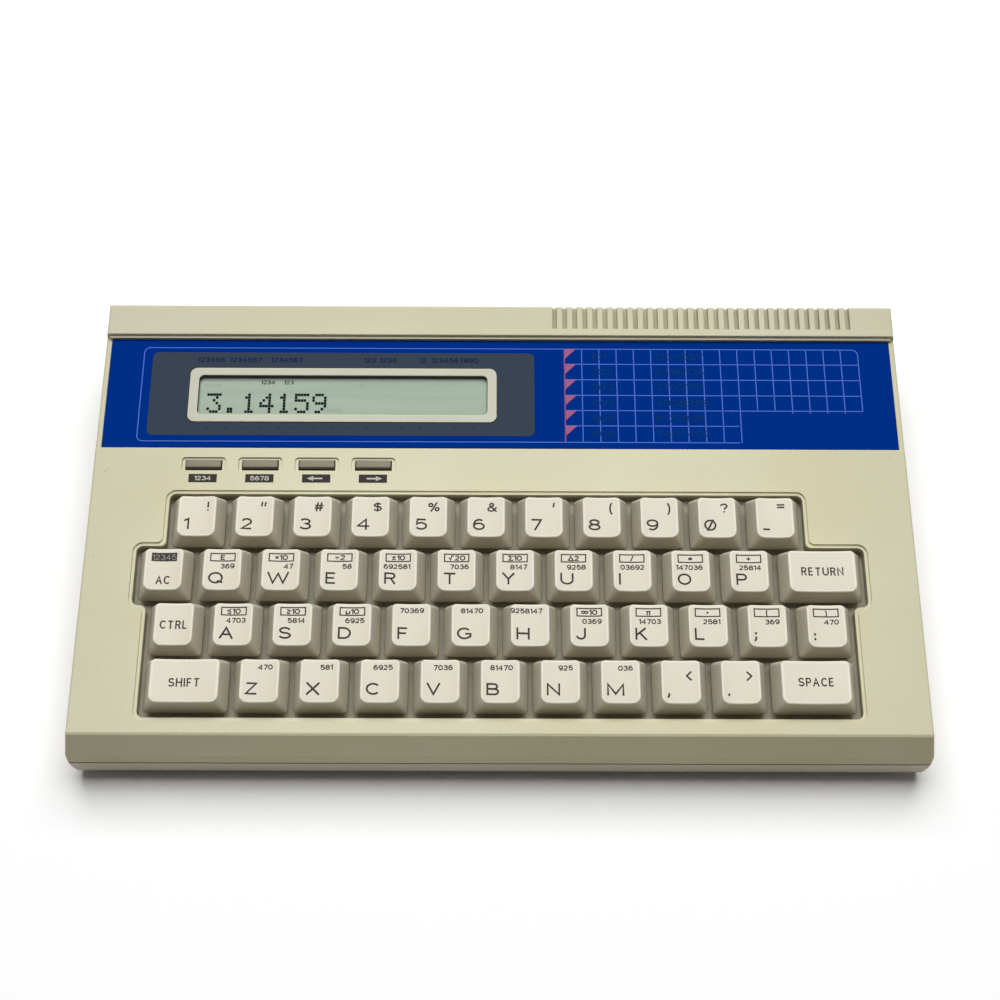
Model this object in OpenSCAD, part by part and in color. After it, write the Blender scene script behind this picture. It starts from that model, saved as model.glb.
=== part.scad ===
// Portable home computer: a wedge-shaped case with a full keyboard, four
// function buttons, a one-line display under a printed panel, and a battery bay.
//
// Frame: origin on the table at the centre of the footprint, +X to the right,
// +Y to the rear, +Z up, millimetres. The deck slopes up to the rear; everything
// on it is placed in deck coordinates: x, distance up the slope, height above it.

/* [Case] */
// Width over the side walls
case_width = 276.8; // [250:0.2:300]
// Depth from the front lip to the rear wall
case_depth = 160.6; // [150:0.1:180]
// Height of the deck's front edge above the table
front_height = 25.5; // [25.5:0.5:30]
// Slope of the deck in degrees
deck_slope = 4; // [4:0.5:6]
// How far the front lip stands ahead of the deck's front edge
lip_reach = 4.7; // [2:0.1:7]
// How far below the deck's edge the front face turns steeper
facet_drop = 8.6; // [5:0.1:10]
// How far the sides stand out below the deck's side edges
side_flare = 1.4; // [0.5:0.1:2]
// Height of the seam between the two covers
seam_height = 12.5; // [11:0.5:15]
// Width of the shadow line at the seam
seam_gap = 0.8; // [0.2:0.1:1]
// Wall thickness of both covers
wall = 2.2; // [1.6:0.1:3]
// Thickness of the deck
deck_thickness = 2.9; // [2.5:0.1:4]
// Radius of the case's upright corners
corner_radius = 1; // [0.5:0.5:5]
// Radius of the edges along the deck's sides and the front's ends
side_round = 0.8; // [0.3:0.1:1.2]
// Softened edge along the front, the deck's rear and the header
edge_break = 0.5; // [0.2:0.1:1]
// How far the bottom cover's sides draw in towards the table
bottom_taper = 1.3; // [0:0.1:3]
// How far the bottom cover's front draws in towards the table
front_taper = 0.9; // [0:0.1:3]
// Height of the moulded feet
foot_height = 3.3; // [3:0.1:5]
// Radius of the moulded feet
foot_radius = 6; // [4:0.5:10]
// Clearance between parts that are only fitted together
clearance = 0.15; // [0.05:0.05:0.3]

/* [Keyboard] */
// Distance between neighbouring keys
key_pitch = 19.05; // [18:0.05:19.5]
// Gap between neighbouring keys at their bases
key_gap = 1.55; // [1:0.05:3]
// Height of a keycap
key_height = 6.4; // [5.8:0.1:6.6]
// Height of the key tops above the deck
key_stand = 5.1; // [3:0.1:7]
// Travel of a key
key_travel = 2.8; // [1.5:0.1:3.5]
// Inset of a key's top at either side
key_side_inset = 2.5; // [1:0.1:3.5]
// Inset of a key's top at its front and back
key_front_inset = 1.6; // [0.5:0.1:3]
// Corner radius of a keycap
key_corner = 1.5; // [0.5:0.1:3]
// Corner radius of a key's top
key_top_corner = 2.2; // [1:0.1:3]
// Softened edge around a key's top
key_top_round = 0.5; // [0.2:0.1:1]
// Depth of the cylindrical dish in the key tops
dish_depth = 0.5; // [0.3:0.1:0.8]
// Thickness of a key's shell
key_shell = 1.2; // [0.8:0.1:2]
// Side of a key's square stem
stem_size = 4.4; // [3:0.1:6]
// Width of the deck ahead of the key well
front_rim = 4.5; // [3:0.5:10]
// Distance from the key cells to the outline of the well
well_margin = 2.1; // [1.5:0.1:4]
// Width of the shallow ledge around the well
ledge_width = 1.1; // [0.5:0.1:2]
// Depth of the ledge
ledge_depth = 0.6; // [0.3:0.1:1]
// Depth of the well
well_depth = 4.6; // [4.6:0.1:5.2]
// Thickness of the well's floor and walls
well_wall = 1.4; // [1:0.1:2]

/* [Function buttons] */
// Distance from the number row to the button row
button_offset = 21.2; // [20:0.1:22]
// Length of a button's cap
button_length = 11.8; // [8:0.1:14]
// Width of a button's cap
button_width = 3.2; // [3:0.1:4.5]
// Height of a button above the deck
button_stand = 0.4; // [0:0.1:2]
// Travel of a button
button_travel = 1.2; // [0.5:0.1:2]
// Gap around a button's cap
button_gap = 0.3; // [0.15:0.05:0.6]
// Width of the recess's ledge beside a button
button_ledge = 1.15; // [0.5:0.05:2]

/* [Display panel] */
// Length of the deck up to the panel
deck_length = 100.6; // [95:0.1:110]
// Length of the panel zone
panel_length = 43.5; // [35:0.5:50]
// Drop from the deck to the panel zone
panel_drop = 0.7; // [0.3:0.1:2]
// Width of the rail on either side of the printed panel
panel_rail = 1.7; // [1.5:0.1:5]
// Thickness of the printed panel
panel_thickness = 0.9; // [0.5:0.1:2]
// Distance of the display frame's centre left of the middle
frame_shift = 54.2; // [40:0.1:70]
// Distance of the display frame's centre from the deck's front edge
frame_centre = 121.4; // [115:0.1:125]
// Length of the display frame
frame_length = 105.6; // [90:0.1:120]
// Width of the display frame
frame_width = 20.8; // [16:0.1:26]
// Length of the display window
window_length = 99.4; // [80:0.1:110]
// Width of the display window
window_width = 15.3; // [10:0.1:20]
// Height of the display frame above the printed panel
frame_stand = 0.3; // [0.1:0.1:1]

/* [Header] */
// Rise of the header above the deck's plane
header_rise = 1.6; // [0.5:0.1:4]
// Depth of the low ledge along the header's foot
header_ledge = 0.95; // [0.5:0.05:1.5]
// Number of moulded grooves
groove_count = 30; // [10:1:40]
// Distance between grooves
groove_pitch = 3.53; // [2.5:0.01:5]
// Width of a groove
groove_width = 1.6; // [0.8:0.1:2.5]
// Depth of a groove
groove_depth = 2; // [0.5:0.1:2.2]
// Distance of the first groove right of the middle
groove_start = 18; // [5:0.5:40]
// Solid strip of header ahead of the grooves
groove_margin = 2.75; // [1:0.25:5]

/* [Inside] */
// Depth of the board's top face below the deck
board_depth = 10.9; // [10.5:0.1:11.1]
// Thickness of the board
board_thickness = 1.6; // [1:0.1:2]
// Distance from the board's side edges to the case's sides
board_inset = 13; // [13:0.5:20]
// Diameter of a battery cell
cell_diameter = 14.5; // [14:0.1:14.5]
// Length of a battery cell
cell_length = 50.5; // [49:0.1:50.5]
// Thickness of the battery door
door_thickness = 1.8; // [1.4:0.1:2]
// Radius of the screws' threads
screw_radius = 1.5; // [1.2:0.1:1.7]

/* [Rear panel] */
// Radius of the power inlet
inlet_radius = 2.75; // [2:0.05:3]
// Radius of the audio jacks
jack_radius = 1.8; // [1.5:0.05:2]
// Travel of the power switch
switch_travel = 4; // [2:0.5:6]

/* [View] */
// Which piece to show

/* [Hidden] */
$fn = 48;

case_color = "#d8d4b8";
base_color = "#c6c1a8";
key_color = "#e0dac4";
button_color = "#8d8774";
panel_color = "#0a3a94";
lcd_color = "#a6bba6";
board_color = "#2f6b45";
rubber_color = "#5a5a58";
steel_color = "#b8bcc0";
cell_color = "#3c5c9c";
switch_color = "#3a3a38";

lip_y = -case_depth / 2;
rear_y = case_depth / 2;
deck_y = lip_y + lip_reach;
crease_y = lip_y + 0.65;
half_width = case_width / 2;
side_lean = atan(side_flare / facet_drop);

cell_edge = front_rim + well_margin;
number_row = cell_edge + 3.5 * key_pitch;
button_row = number_row + button_offset;
header_front = deck_length + panel_length;
floor_top = foot_height + wall;

// Singles in each row, from the number row forwards: first place and count,
// in key pitches from the middle, and the wide keys as row and place.
row_first_units = [-5.25, -5.75, -5.5, -4];
row_count = [11, 11, 12, 9];
wide_key_units = [[1, 5.5], [3, -5.25], [3, 5.25]];
wide_units = 1.5;

key_base = key_pitch - key_gap;
stem_tip = well_depth + well_wall + 1.6;
guide_length = 1.8;
contact_lift = 0.5;

plate_floor = panel_drop + panel_thickness - 0.05;
plate_width = case_width - 2 * side_flare - 2 * panel_rail;
plate_front = deck_length + 0.5;
plate_rear = header_front - header_ledge;
ledge_up = 0.3 * header_rise;

screw_x = half_width - 8.5;
screw_y = [-case_depth / 2 + 14.3, 14, case_depth / 2 - 10.3];
post_radius = 3.4;
boss_radius = 4;
head_radius = 2.8;
head_height = 2;
boss_top = seam_height + 1.5;
head_seat = boss_top - 5;

bay_y = rear_y - 20;
bay_length = 2 * cell_length + 3.8;
bay_width = 2 * cell_diameter + 1.2;
bay_top = foot_height + door_thickness + cell_diameter + 0.3;
cell_axis_z = bay_top - 0.05 - cell_diameter / 2;
door_length = bay_length + 2.8;
door_front = bay_y - bay_width / 2 - 1.5;
door_rear = rear_y - bottom_taper;
tongue = 1.2;

board_width = case_width - 2 * board_inset;
board_rear = rear_y - wall - 1.2;
board_rear_top = deck_point(slope_at(board_rear, -board_depth), -board_depth)[1];
jack_z = board_rear_top + 4.3;
inlet_x = 100;
audio_x = [66, 80];
socket_x = -86;
switch_x = 38;
switch_knob = 5;
switch_slot = switch_knob + switch_travel;
switch_flange = switch_slot + 2;

// ---- placing and profiles -------------------------------------------------

module on_deck() {
  translate([0, deck_y, front_height])
    rotate([deck_slope, 0, 0])
      children();
}

// A point of the side view, from the distance up the slope and the height.
function deck_point(along, up) = [
  deck_y + along * cos(deck_slope) - up * sin(deck_slope),
  front_height + along * sin(deck_slope) + up * cos(deck_slope)
];

// Distance up the slope to a world y, measured at a height above the deck.
function slope_at(y, up) = (y - deck_y + up * sin(deck_slope)) / cos(deck_slope);

// The sides' distance from the middle at a height above the deck.
function side_at(up) = half_width - side_flare - up * tan(side_lean);

function row_at(row) = number_row - row * key_pitch;
function arc_radius(half_chord, rise) = (half_chord * half_chord + rise * rise) / (2 * rise);

module along_x(length) {
  rotate([90, 0, 90])
    linear_extrude(height = length, center = true)
      children();
}

module along_y(front, rear) {
  translate([0, rear, 0])
    rotate([90, 0, 0])
      linear_extrude(height = rear - front)
        children();
}

module rounded_square(x, y, r) {
  square([x, y - 2 * r], center = true);
  square([x - 2 * r, y], center = true);
  for (sx = [-1, 1])
    for (sy = [-1, 1])
      translate([sx * (x / 2 - r), sy * (y / 2 - r)])
        circle(r = r);
}

module centred_box(x, y, z) {
  translate([-x / 2, -y / 2, 0])
    cube([x, y, z]);
}

module case_plan(inset, radius) {
  rounded_square(case_width - 2 * inset, case_depth - 2 * inset, radius);
}

// The case across: upright sides that lean in from the crease up to the deck.
module across(inset) {
  low_x = half_width - inset;
  high_x = side_at(5) - inset;
  on_deck()
    along_y(-20, case_depth + 20)
      polygon([
        [-low_x, -45], [low_x, -45], [low_x, -facet_drop],
        [high_x, 5], [-high_x, 5], [-low_x, -facet_drop]
      ]);
}

// ---- keyboard layout ------------------------------------------------------

module at_key(row, place) {
  translate([place * key_pitch, row_at(row), 0])
    children();
}

module at_every_key() {
  for (row = [0:3])
    for (i = [0:row_count[row] - 1])
      at_key(row, row_first_units[row] + i)
        children();
  for (k = wide_key_units)
    at_key(k[0], k[1])
      children();
}

// A rounded block of the well between two places and two slope distances.
module well_block(left, right, front, rear, margin) {
  x = (right - left) * key_pitch + 2 * margin;
  translate([(left + right) / 2 * key_pitch, (front + rear) / 2])
    rounded_square(x, rear - front, margin + 1.2);
}

// The fill that rounds an inner corner, with its corner at the origin.
module corner_fill(sx, sy, r) {
  difference() {
    translate([sx > 0 ? -0.2 : -r, sy > 0 ? -0.2 : -r])
      square(r + 0.2);
    translate([sx * r, sy * r])
      circle(r = r);
  }
}

// The stepped outline of the key well, grown from the key cells by a margin.
module well_outline(margin) {
  row_1_rear = row_at(1) + key_pitch / 2 + margin;
  row_1_front = row_at(1) - key_pitch / 2 - margin;
  fill = 1.8;
  well_block(-5.75, 5.25, row_at(1), row_at(0) + key_pitch / 2 + margin, margin);
  well_block(-6.25, 6.25, row_1_front, row_1_rear, margin);
  well_block(-6, 6, cell_edge - margin, row_at(1), margin);
  translate([-5.75 * key_pitch - margin, row_1_rear])
    corner_fill(-1, 1, fill);
  translate([5.25 * key_pitch + margin, row_1_rear])
    corner_fill(1, 1, fill);
  translate([-6 * key_pitch - margin, row_1_front])
    corner_fill(-1, -1, fill);
  translate([6 * key_pitch + margin, row_1_front])
    corner_fill(1, -1, fill);
}

// ---- keys -----------------------------------------------------------------

module cap_ring(x, y, r, z) {
  for (sx = [-1, 1])
    for (sy = [-1, 1])
      translate([sx * (x / 2 - r), sy * (y / 2 - r), z])
        cylinder(r = r, h = 0.02, $fn = 24);
}

// A keycap with its base at z = 0: leaning sides, rounded corners, a softened
// top edge, a dish across the top, a hollow underside and a square stem.
module keycap(units) {
  base_x = units * key_pitch - key_gap;
  top_x = base_x - 2 * key_side_inset;
  top_y = key_base - 2 * key_front_inset;
  shoulder = (key_height - key_top_round) / key_height;
  low_x = base_x - 2 * key_side_inset * shoulder;
  low_y = key_base - 2 * key_front_inset * shoulder;
  dish_low = key_height - dish_depth;
  dish_radius = arc_radius(top_x / 2 - key_top_round, dish_depth);
  hollow = dish_low - key_shell;
  difference() {
    hull() {
      cap_ring(base_x, key_base, key_corner, 0);
      cap_ring(low_x, low_y, key_top_corner, key_height - key_top_round);
      cap_ring(top_x - key_top_round, top_y - key_top_round, key_top_corner, key_height - 0.02);
    }
    translate([0, 0, dish_low + dish_radius])
      rotate([90, 0, 0])
        cylinder(r = dish_radius, h = key_pitch, center = true, $fn = 180);
    translate([0, 0, -0.1])
      centred_box(
        base_x - 2 * key_side_inset - key_shell,
        key_base - 2 * key_front_inset - key_shell,
        hollow + 0.1
      );
  }
  translate([0, 0, key_height - key_stand - stem_tip])
    centred_box(stem_size, stem_size, hollow + 0.4 + stem_tip + key_stand - key_height);
}

module key_at(row, place, units = 1) {
  color(key_color)
    on_deck()
      at_key(row, place)
        translate([0, 0, key_stand - key_height])
          keycap(units);
}

module key_1() key_at(0, row_first_units[0]);
module key_2() key_at(0, row_first_units[0] + 1);
module key_3() key_at(0, row_first_units[0] + 2);
module key_4() key_at(0, row_first_units[0] + 3);
module key_5() key_at(0, row_first_units[0] + 4);
module key_6() key_at(0, row_first_units[0] + 5);
module key_7() key_at(0, row_first_units[0] + 6);
module key_8() key_at(0, row_first_units[0] + 7);
module key_9() key_at(0, row_first_units[0] + 8);
module key_0() key_at(0, row_first_units[0] + 9);
module key_equals() key_at(0, row_first_units[0] + 10);
module key_ac() key_at(1, row_first_units[1]);
module key_q() key_at(1, row_first_units[1] + 1);
module key_w() key_at(1, row_first_units[1] + 2);
module key_e() key_at(1, row_first_units[1] + 3);
module key_r() key_at(1, row_first_units[1] + 4);
module key_t() key_at(1, row_first_units[1] + 5);
module key_y() key_at(1, row_first_units[1] + 6);
module key_u() key_at(1, row_first_units[1] + 7);
module key_i() key_at(1, row_first_units[1] + 8);
module key_o() key_at(1, row_first_units[1] + 9);
module key_p() key_at(1, row_first_units[1] + 10);
module key_return() key_at(wide_key_units[0][0], wide_key_units[0][1], wide_units);
module key_ctrl() key_at(2, row_first_units[2]);
module key_a() key_at(2, row_first_units[2] + 1);
module key_s() key_at(2, row_first_units[2] + 2);
module key_d() key_at(2, row_first_units[2] + 3);
module key_f() key_at(2, row_first_units[2] + 4);
module key_g() key_at(2, row_first_units[2] + 5);
module key_h() key_at(2, row_first_units[2] + 6);
module key_j() key_at(2, row_first_units[2] + 7);
module key_k() key_at(2, row_first_units[2] + 8);
module key_l() key_at(2, row_first_units[2] + 9);
module key_semicolon() key_at(2, row_first_units[2] + 10);
module key_colon() key_at(2, row_first_units[2] + 11);
module key_shift() key_at(wide_key_units[1][0], wide_key_units[1][1], wide_units);
module key_z() key_at(3, row_first_units[3]);
module key_x() key_at(3, row_first_units[3] + 1);
module key_c() key_at(3, row_first_units[3] + 2);
module key_v() key_at(3, row_first_units[3] + 3);
module key_b() key_at(3, row_first_units[3] + 4);
module key_n() key_at(3, row_first_units[3] + 5);
module key_m() key_at(3, row_first_units[3] + 6);
module key_comma() key_at(3, row_first_units[3] + 7);
module key_period() key_at(3, row_first_units[3] + 8);
module key_space() key_at(wide_key_units[2][0], wide_key_units[2][1], wide_units);

// ---- function buttons -----------------------------------------------------

button_hole_x = button_length + 2 * button_gap;
button_hole_y = button_width + 2 * button_gap;

module at_button(i) {
  translate([(row_first_units[0] + i) * key_pitch, button_row, 0])
    children();
}

// A bar with a sloping front face, a flange below the deck and a push rod.
module button_at(i) {
  front_run = 0.5;
  flange = 0.7;
  flange_top = -deck_thickness - 0.1;
  color(button_color)
    on_deck()
      at_button(i) {
        difference() {
          translate([0, 0, flange_top - 0.1])
            centred_box(button_length, button_width, button_stand - flange_top + 0.1);
          translate([0, -button_width / 2, button_stand])
            along_x(button_length + 1)
              polygon([[-1, 1], [-1, -1.5], [0, -1.5], [front_run, 0], [front_run, 1]]);
        }
        translate([0, 0, flange_top - 0.9])
          centred_box(button_length + 2 * flange, button_width + 2 * flange, 0.9);
        translate([0, 0, -board_depth + contact_lift + button_travel])
          centred_box(3, 2.4, board_depth - contact_lift - button_travel + flange_top);
      }
}

module button_mode() button_at(0);
module button_program() button_at(1);
module button_left() button_at(2);
module button_right() button_at(3);

// ---- top cover ------------------------------------------------------------

front_run = [-facet_drop, crease_y - deck_y] / norm([facet_drop, crease_y - deck_y]);

module top_outside() {
  intersection() {
    along_x(case_width + 2)
      polygon([
        [lip_y, seam_height + seam_gap / 2],
        [crease_y, front_height - facet_drop],
        [deck_y, front_height] + edge_break * [front_run[1], front_run[0]],
        deck_point(edge_break, 0),
        deck_point(deck_length - edge_break, 0),
        deck_point(deck_length - 0.1, -0.25),
        deck_point(deck_length, -panel_drop),
        deck_point(plate_rear, -panel_drop),
        deck_point(plate_rear, ledge_up - 0.1),
        deck_point(plate_rear + 0.1, ledge_up),
        deck_point(header_front, ledge_up),
        deck_point(header_front, header_rise - 0.2),
        deck_point(header_front + 0.2, header_rise),
        deck_point(slope_at(rear_y, header_rise) - 1.4, header_rise),
        deck_point(slope_at(rear_y, 0) - 0.5, header_rise - 0.4),
        [rear_y, deck_point(slope_at(rear_y, 0), header_rise - 1.4)[1]],
        [rear_y, seam_height + seam_gap / 2]
      ]);
    linear_extrude(height = 60)
      case_plan(0, corner_radius);
    across(0);
  }
}

// Prisms along y that round off a face at both sides of the case: the distance of
// the edges from the middle, their height, the sides' lean and a turn inwards.
module edge_cutter(front, rear, x, z, lean, turn) {
  back = side_round / tan(45 + lean / 2);
  low = back * cos(lean);
  for (sx = [-1, 1])
    translate([sx * x, 0, z])
      rotate([0, 0, sx * turn])
        along_y(front, rear)
          difference() {
            translate([sx > 0 ? -back : -side_round, -low])
              square([back + side_round, low + side_round]);
            translate([-sx * back, -side_round])
              circle(r = side_round);
          }
}

// Rounds the deck, the panel zone and the header at their sides, and the front's ends.
module side_breaks() {
  facet = norm([facet_drop, deck_y - crease_y]);
  on_deck() {
    edge_cutter(-2, deck_length, side_at(0), 0, side_lean, 0);
    edge_cutter(deck_length - 0.1, header_front + 0.1, side_at(-panel_drop), -panel_drop, side_lean, 0);
    edge_cutter(header_front, case_depth, side_at(header_rise), header_rise, side_lean, 0);
    // the ledge ends short of the sides
    for (sx = [-1, 1])
      translate([sx * (half_width - side_flare + 1.1) - 2, plate_rear - 1, -panel_drop])
        cube([4, header_ledge + 1, 3]);
  }
  translate([0, crease_y, front_height - facet_drop])
    rotate([atan2(facet_drop, deck_y - crease_y), 0, 0])
      edge_cutter(0, facet + 3, half_width, 0, 0, atan(side_flare / facet));
  translate([0, crease_y, front_height - facet_drop])
    rotate([atan2(front_height - facet_drop - seam_height, crease_y - lip_y), 0, 0])
      edge_cutter(-facet_drop, 0.1, half_width, 0, 0, 0);
}

module top_inside() {
  header_under = header_rise - 3.2;
  intersection() {
    along_x(case_width)
      polygon([
        [lip_y + wall, seam_height - 1],
        [lip_y + wall, seam_height + 2.5],
        [crease_y + 1.1 * wall, front_height - facet_drop],
        deck_point(1.2, -deck_thickness),
        deck_point(header_front + 1, -deck_thickness),
        deck_point(header_front + 1, header_under),
        deck_point(slope_at(rear_y - wall, header_under), header_under),
        [rear_y - wall, seam_height - 1]
      ]);
    across(wall);
  }
}

module screw_posts() {
  for (sx = [-1, 1])
    for (y = screw_y)
      translate([sx * screw_x, y, boss_top])
        cylinder(r = post_radius, h = deck_point(slope_at(y, 0), -1.2)[1] - boss_top);
}

module top_cover() {
  guide = stem_size + 2 * clearance;
  color(case_color)
    difference() {
      union() {
        difference() {
          top_outside();
          side_breaks();
          top_inside();
        }
        // the tub that hangs below the deck and carries the keys
        on_deck() {
          translate([0, 0, -well_depth - well_wall])
            linear_extrude(height = well_depth + well_wall - 0.8)
              well_outline(well_margin - ledge_width + well_wall);
          translate([0, 0, -well_depth - well_wall - guide_length])
            linear_extrude(height = guide_length + 0.2)
              at_every_key()
                square(guide + 2.8, center = true);
          // the frame that shows through the printed panel
          translate([-frame_shift, frame_centre, -deck_thickness])
            linear_extrude(height = deck_thickness - plate_floor + panel_thickness + frame_stand)
              rounded_square(frame_length, frame_width, 2.5);
        }
        screw_posts();
        // the pad behind the power switch
        translate([switch_x - (switch_flange + switch_travel + 5) / 2, rear_y - wall - 1.2, jack_z - 4.1])
          cube([switch_flange + switch_travel + 5, 1.5, 8.2]);
      }
      on_deck() {
        // key well: shallow ledge, deep tub and the stem guides
        translate([0, 0, -ledge_depth])
          linear_extrude(height = 5)
            well_outline(well_margin);
        translate([0, 0, -well_depth])
          linear_extrude(height = 9)
            well_outline(well_margin - ledge_width);
        translate([0, 0, -well_depth - well_wall - guide_length - 1])
          linear_extrude(height = 6)
            at_every_key()
              square(guide, center = true);
        // function buttons
        translate([0, 0, -ledge_depth])
          linear_extrude(height = 5)
            for (i = [0:3])
              at_button(i)
                rounded_square(
                  button_hole_x + 2 * button_ledge, button_hole_y + 1.4 * button_ledge, 1.2
                );
        translate([0, 0, -deck_thickness - 1])
          linear_extrude(height = 9)
            for (i = [0:3])
              at_button(i)
                square([button_hole_x, button_hole_y], center = true);
        // seat of the printed panel, around the display frame
        translate([0, 0, -plate_floor])
          linear_extrude(height = 5)
            difference() {
              translate([-plate_width / 2, plate_front])
                square([plate_width, plate_rear - plate_front]);
              translate([-frame_shift, frame_centre])
                rounded_square(frame_length, frame_width, 2.5);
            }
        // display window
        translate([-frame_shift, frame_centre, -deck_thickness - 1])
          linear_extrude(height = 9)
            rounded_square(window_length, window_width, 1.8);
        // header grooves, open at the rear
        translate([0, 0, header_rise - groove_depth])
          linear_extrude(height = groove_depth + 1)
            for (i = [0:groove_count - 1])
              translate([groove_start + i * groove_pitch, header_front + groove_margin])
                square([groove_width, 20]);
      }
      // screw pilot holes
      for (sx = [-1, 1])
        for (y = screw_y)
          translate([sx * screw_x, y, boss_top - 1])
            cylinder(r = screw_radius + 0.05, h = 8);
      // rear openings: power inlet, audio jacks, expansion socket, power switch
      translate([inlet_x, rear_y + 1, jack_z])
        rotate([90, 0, 0])
          cylinder(r = inlet_radius + 1 + clearance, h = wall + 2);
      for (x = audio_x)
        translate([x, rear_y + 1, jack_z])
          rotate([90, 0, 0])
            cylinder(r = jack_radius + 1.4 + clearance, h = wall + 2);
      translate([socket_x - 24.2, rear_y - wall - 1, jack_z - 4])
        cube([48.4, wall + 2, 8]);
      translate([switch_x - (switch_slot + 5) / 2, rear_y - 1.4, jack_z - 3])
        cube([switch_slot + 5, 3, 6]);
      translate([switch_x - switch_slot / 2 - clearance, rear_y - 5, jack_z - 1.5 - clearance])
        cube([switch_slot + 2 * clearance, 9, 3 + 2 * clearance]);
    }
}

// ---- bottom cover ---------------------------------------------------------

module bottom_outside() {
  intersection() {
    along_x(case_width + 2)
      polygon([
        [lip_y, seam_height - seam_gap / 2],
        [lip_y + front_taper, foot_height],
        [rear_y - bottom_taper, foot_height],
        [rear_y, seam_height - seam_gap / 2]
      ]);
    along_y(lip_y - 1, rear_y + 1)
      polygon([
        [-half_width, seam_height - seam_gap / 2],
        [-half_width + bottom_taper, foot_height],
        [half_width - bottom_taper, foot_height],
        [half_width, seam_height - seam_gap / 2]
      ]);
    linear_extrude(height = 60)
      case_plan(0, corner_radius);
  }
}

module bottom_inside() {
  translate([0, 0, floor_top])
    linear_extrude(height = 60)
      case_plan(wall + 1, 1);
}

// The tongue that closes the seam from inside.
module seam_tongue() {
  translate([0, 0, seam_height - 3])
    linear_extrude(height = 4.6)
      difference() {
        case_plan(wall + clearance, 0.5);
        case_plan(wall + 1.2, 0.5);
      }
}

module door_opening() {
  front = door_front - clearance;
  translate([-door_length / 2 - clearance, front, foot_height - 1])
    cube([door_length + 2 * clearance, case_depth, door_thickness + 1 + clearance]);
  translate([-door_length / 2 - tongue - clearance, front, foot_height + 0.8])
    cube([door_length + 2 * tongue + 2 * clearance, case_depth, door_thickness - 0.8 + clearance]);
}

// Pillars that carry the board, cut off at its sloping underside.
module board_pillars() {
  for (x = [-105, 0, 105])
    for (along = [14, 96])
      on_deck()
        translate([x, along, 0])
          translate([0, 0, -board_depth - board_thickness - pillar_length(along)])
            cylinder(r = 2.5, h = pillar_length(along));
}

function pillar_length(along) =
  deck_point(along, -board_depth - board_thickness)[1] - foot_height - wall / 2;

module bottom_cover() {
  color(base_color)
    difference() {
      union() {
        difference() {
          bottom_outside();
          bottom_inside();
        }
        seam_tongue();
        board_pillars();
        // battery bay: a frame for the door and a box over the cells
        translate([-door_length / 2 - tongue - 2, door_front - 2, foot_height])
          cube([door_length + 2 * tongue + 4, rear_y - 2 - door_front + 2, wall + 1.7]);
        translate([-bay_length / 2 - 1.4, bay_y - bay_width / 2 - 1.4, foot_height + wall])
          cube([bay_length + 2.8, bay_width + 3, bay_top + 1.2 - foot_height - wall]);
        for (sx = [-1, 1])
          for (y = screw_y)
            translate([sx * screw_x, y, foot_height + 0.5])
              cylinder(r = boss_radius, h = boss_top - foot_height - 0.5);
        for (sx = [-1, 1])
          for (sy = [-1, 1])
            translate([sx * (half_width - 26), sy * (rear_y - 15), 0])
              cylinder(r = foot_radius, h = foot_height + 0.5);
      }
      translate([-bay_length / 2, bay_y - bay_width / 2, foot_height])
        cube([bay_length, bay_width, bay_top - foot_height]);
      door_opening();
      for (sx = [-1, 1])
        for (y = screw_y) {
          translate([sx * screw_x, y, -1])
            cylinder(r = head_radius + 0.3, h = head_seat + 1);
          translate([sx * screw_x, y, 0])
            cylinder(r = screw_radius + 0.25, h = 30);
        }
    }
}

// ---- battery door, cells and screws ---------------------------------------

module battery_door() {
  grip = 24;
  color(base_color)
    difference() {
      union() {
        translate([-door_length / 2, door_front, foot_height])
          cube([door_length, door_rear - door_front, door_thickness]);
        translate([-door_length / 2 - tongue, door_front + 1, foot_height + 0.8 + clearance])
          cube([
            door_length + 2 * tongue, door_rear - door_front - 3,
            door_thickness - 0.8 - clearance
          ]);
      }
      // finger grip
      for (i = [-3:3])
        translate([-grip / 2, door_front + 12 + i * 1.8, foot_height - 0.1])
          cube([grip, 0.9, 0.7]);
    }
}

module batteries() {
  nub = 1.2;
  color(cell_color)
    for (sx = [-1, 1])
      for (sy = [-1, 1])
        translate([
          sx > 0 ? 0.2 : -0.2 - cell_length,
          bay_y + sy * (cell_diameter / 2 + 0.15),
          cell_axis_z
        ])
          rotate([0, 90, 0]) {
            cylinder(r = cell_diameter / 2, h = cell_length - nub);
            cylinder(r = 2.75, h = cell_length);
          }
}

module case_screws() {
  color(steel_color)
    for (sx = [-1, 1])
      for (y = screw_y)
        translate([sx * screw_x, y, head_seat - head_height])
          difference() {
            union() {
              cylinder(r = head_radius, h = head_height);
              cylinder(r = screw_radius, h = head_height + 10);
            }
            translate([-0.4, -2, -0.1])
              cube([0.8, 4, 1]);
            translate([-2, -0.4, -0.1])
              cube([4, 0.8, 1]);
          }
}

// ---- display --------------------------------------------------------------

module display_panel() {
  color(panel_color)
    on_deck()
      translate([0, 0, -plate_floor])
        linear_extrude(height = panel_thickness)
          difference() {
            translate([-plate_width / 2 + clearance, plate_front + clearance])
              square([plate_width - 2 * clearance, plate_rear - plate_front - 2 * clearance]);
            translate([-frame_shift, frame_centre])
              rounded_square(frame_length + 2 * clearance, frame_width + 2 * clearance, 2.5);
          }
}

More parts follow.
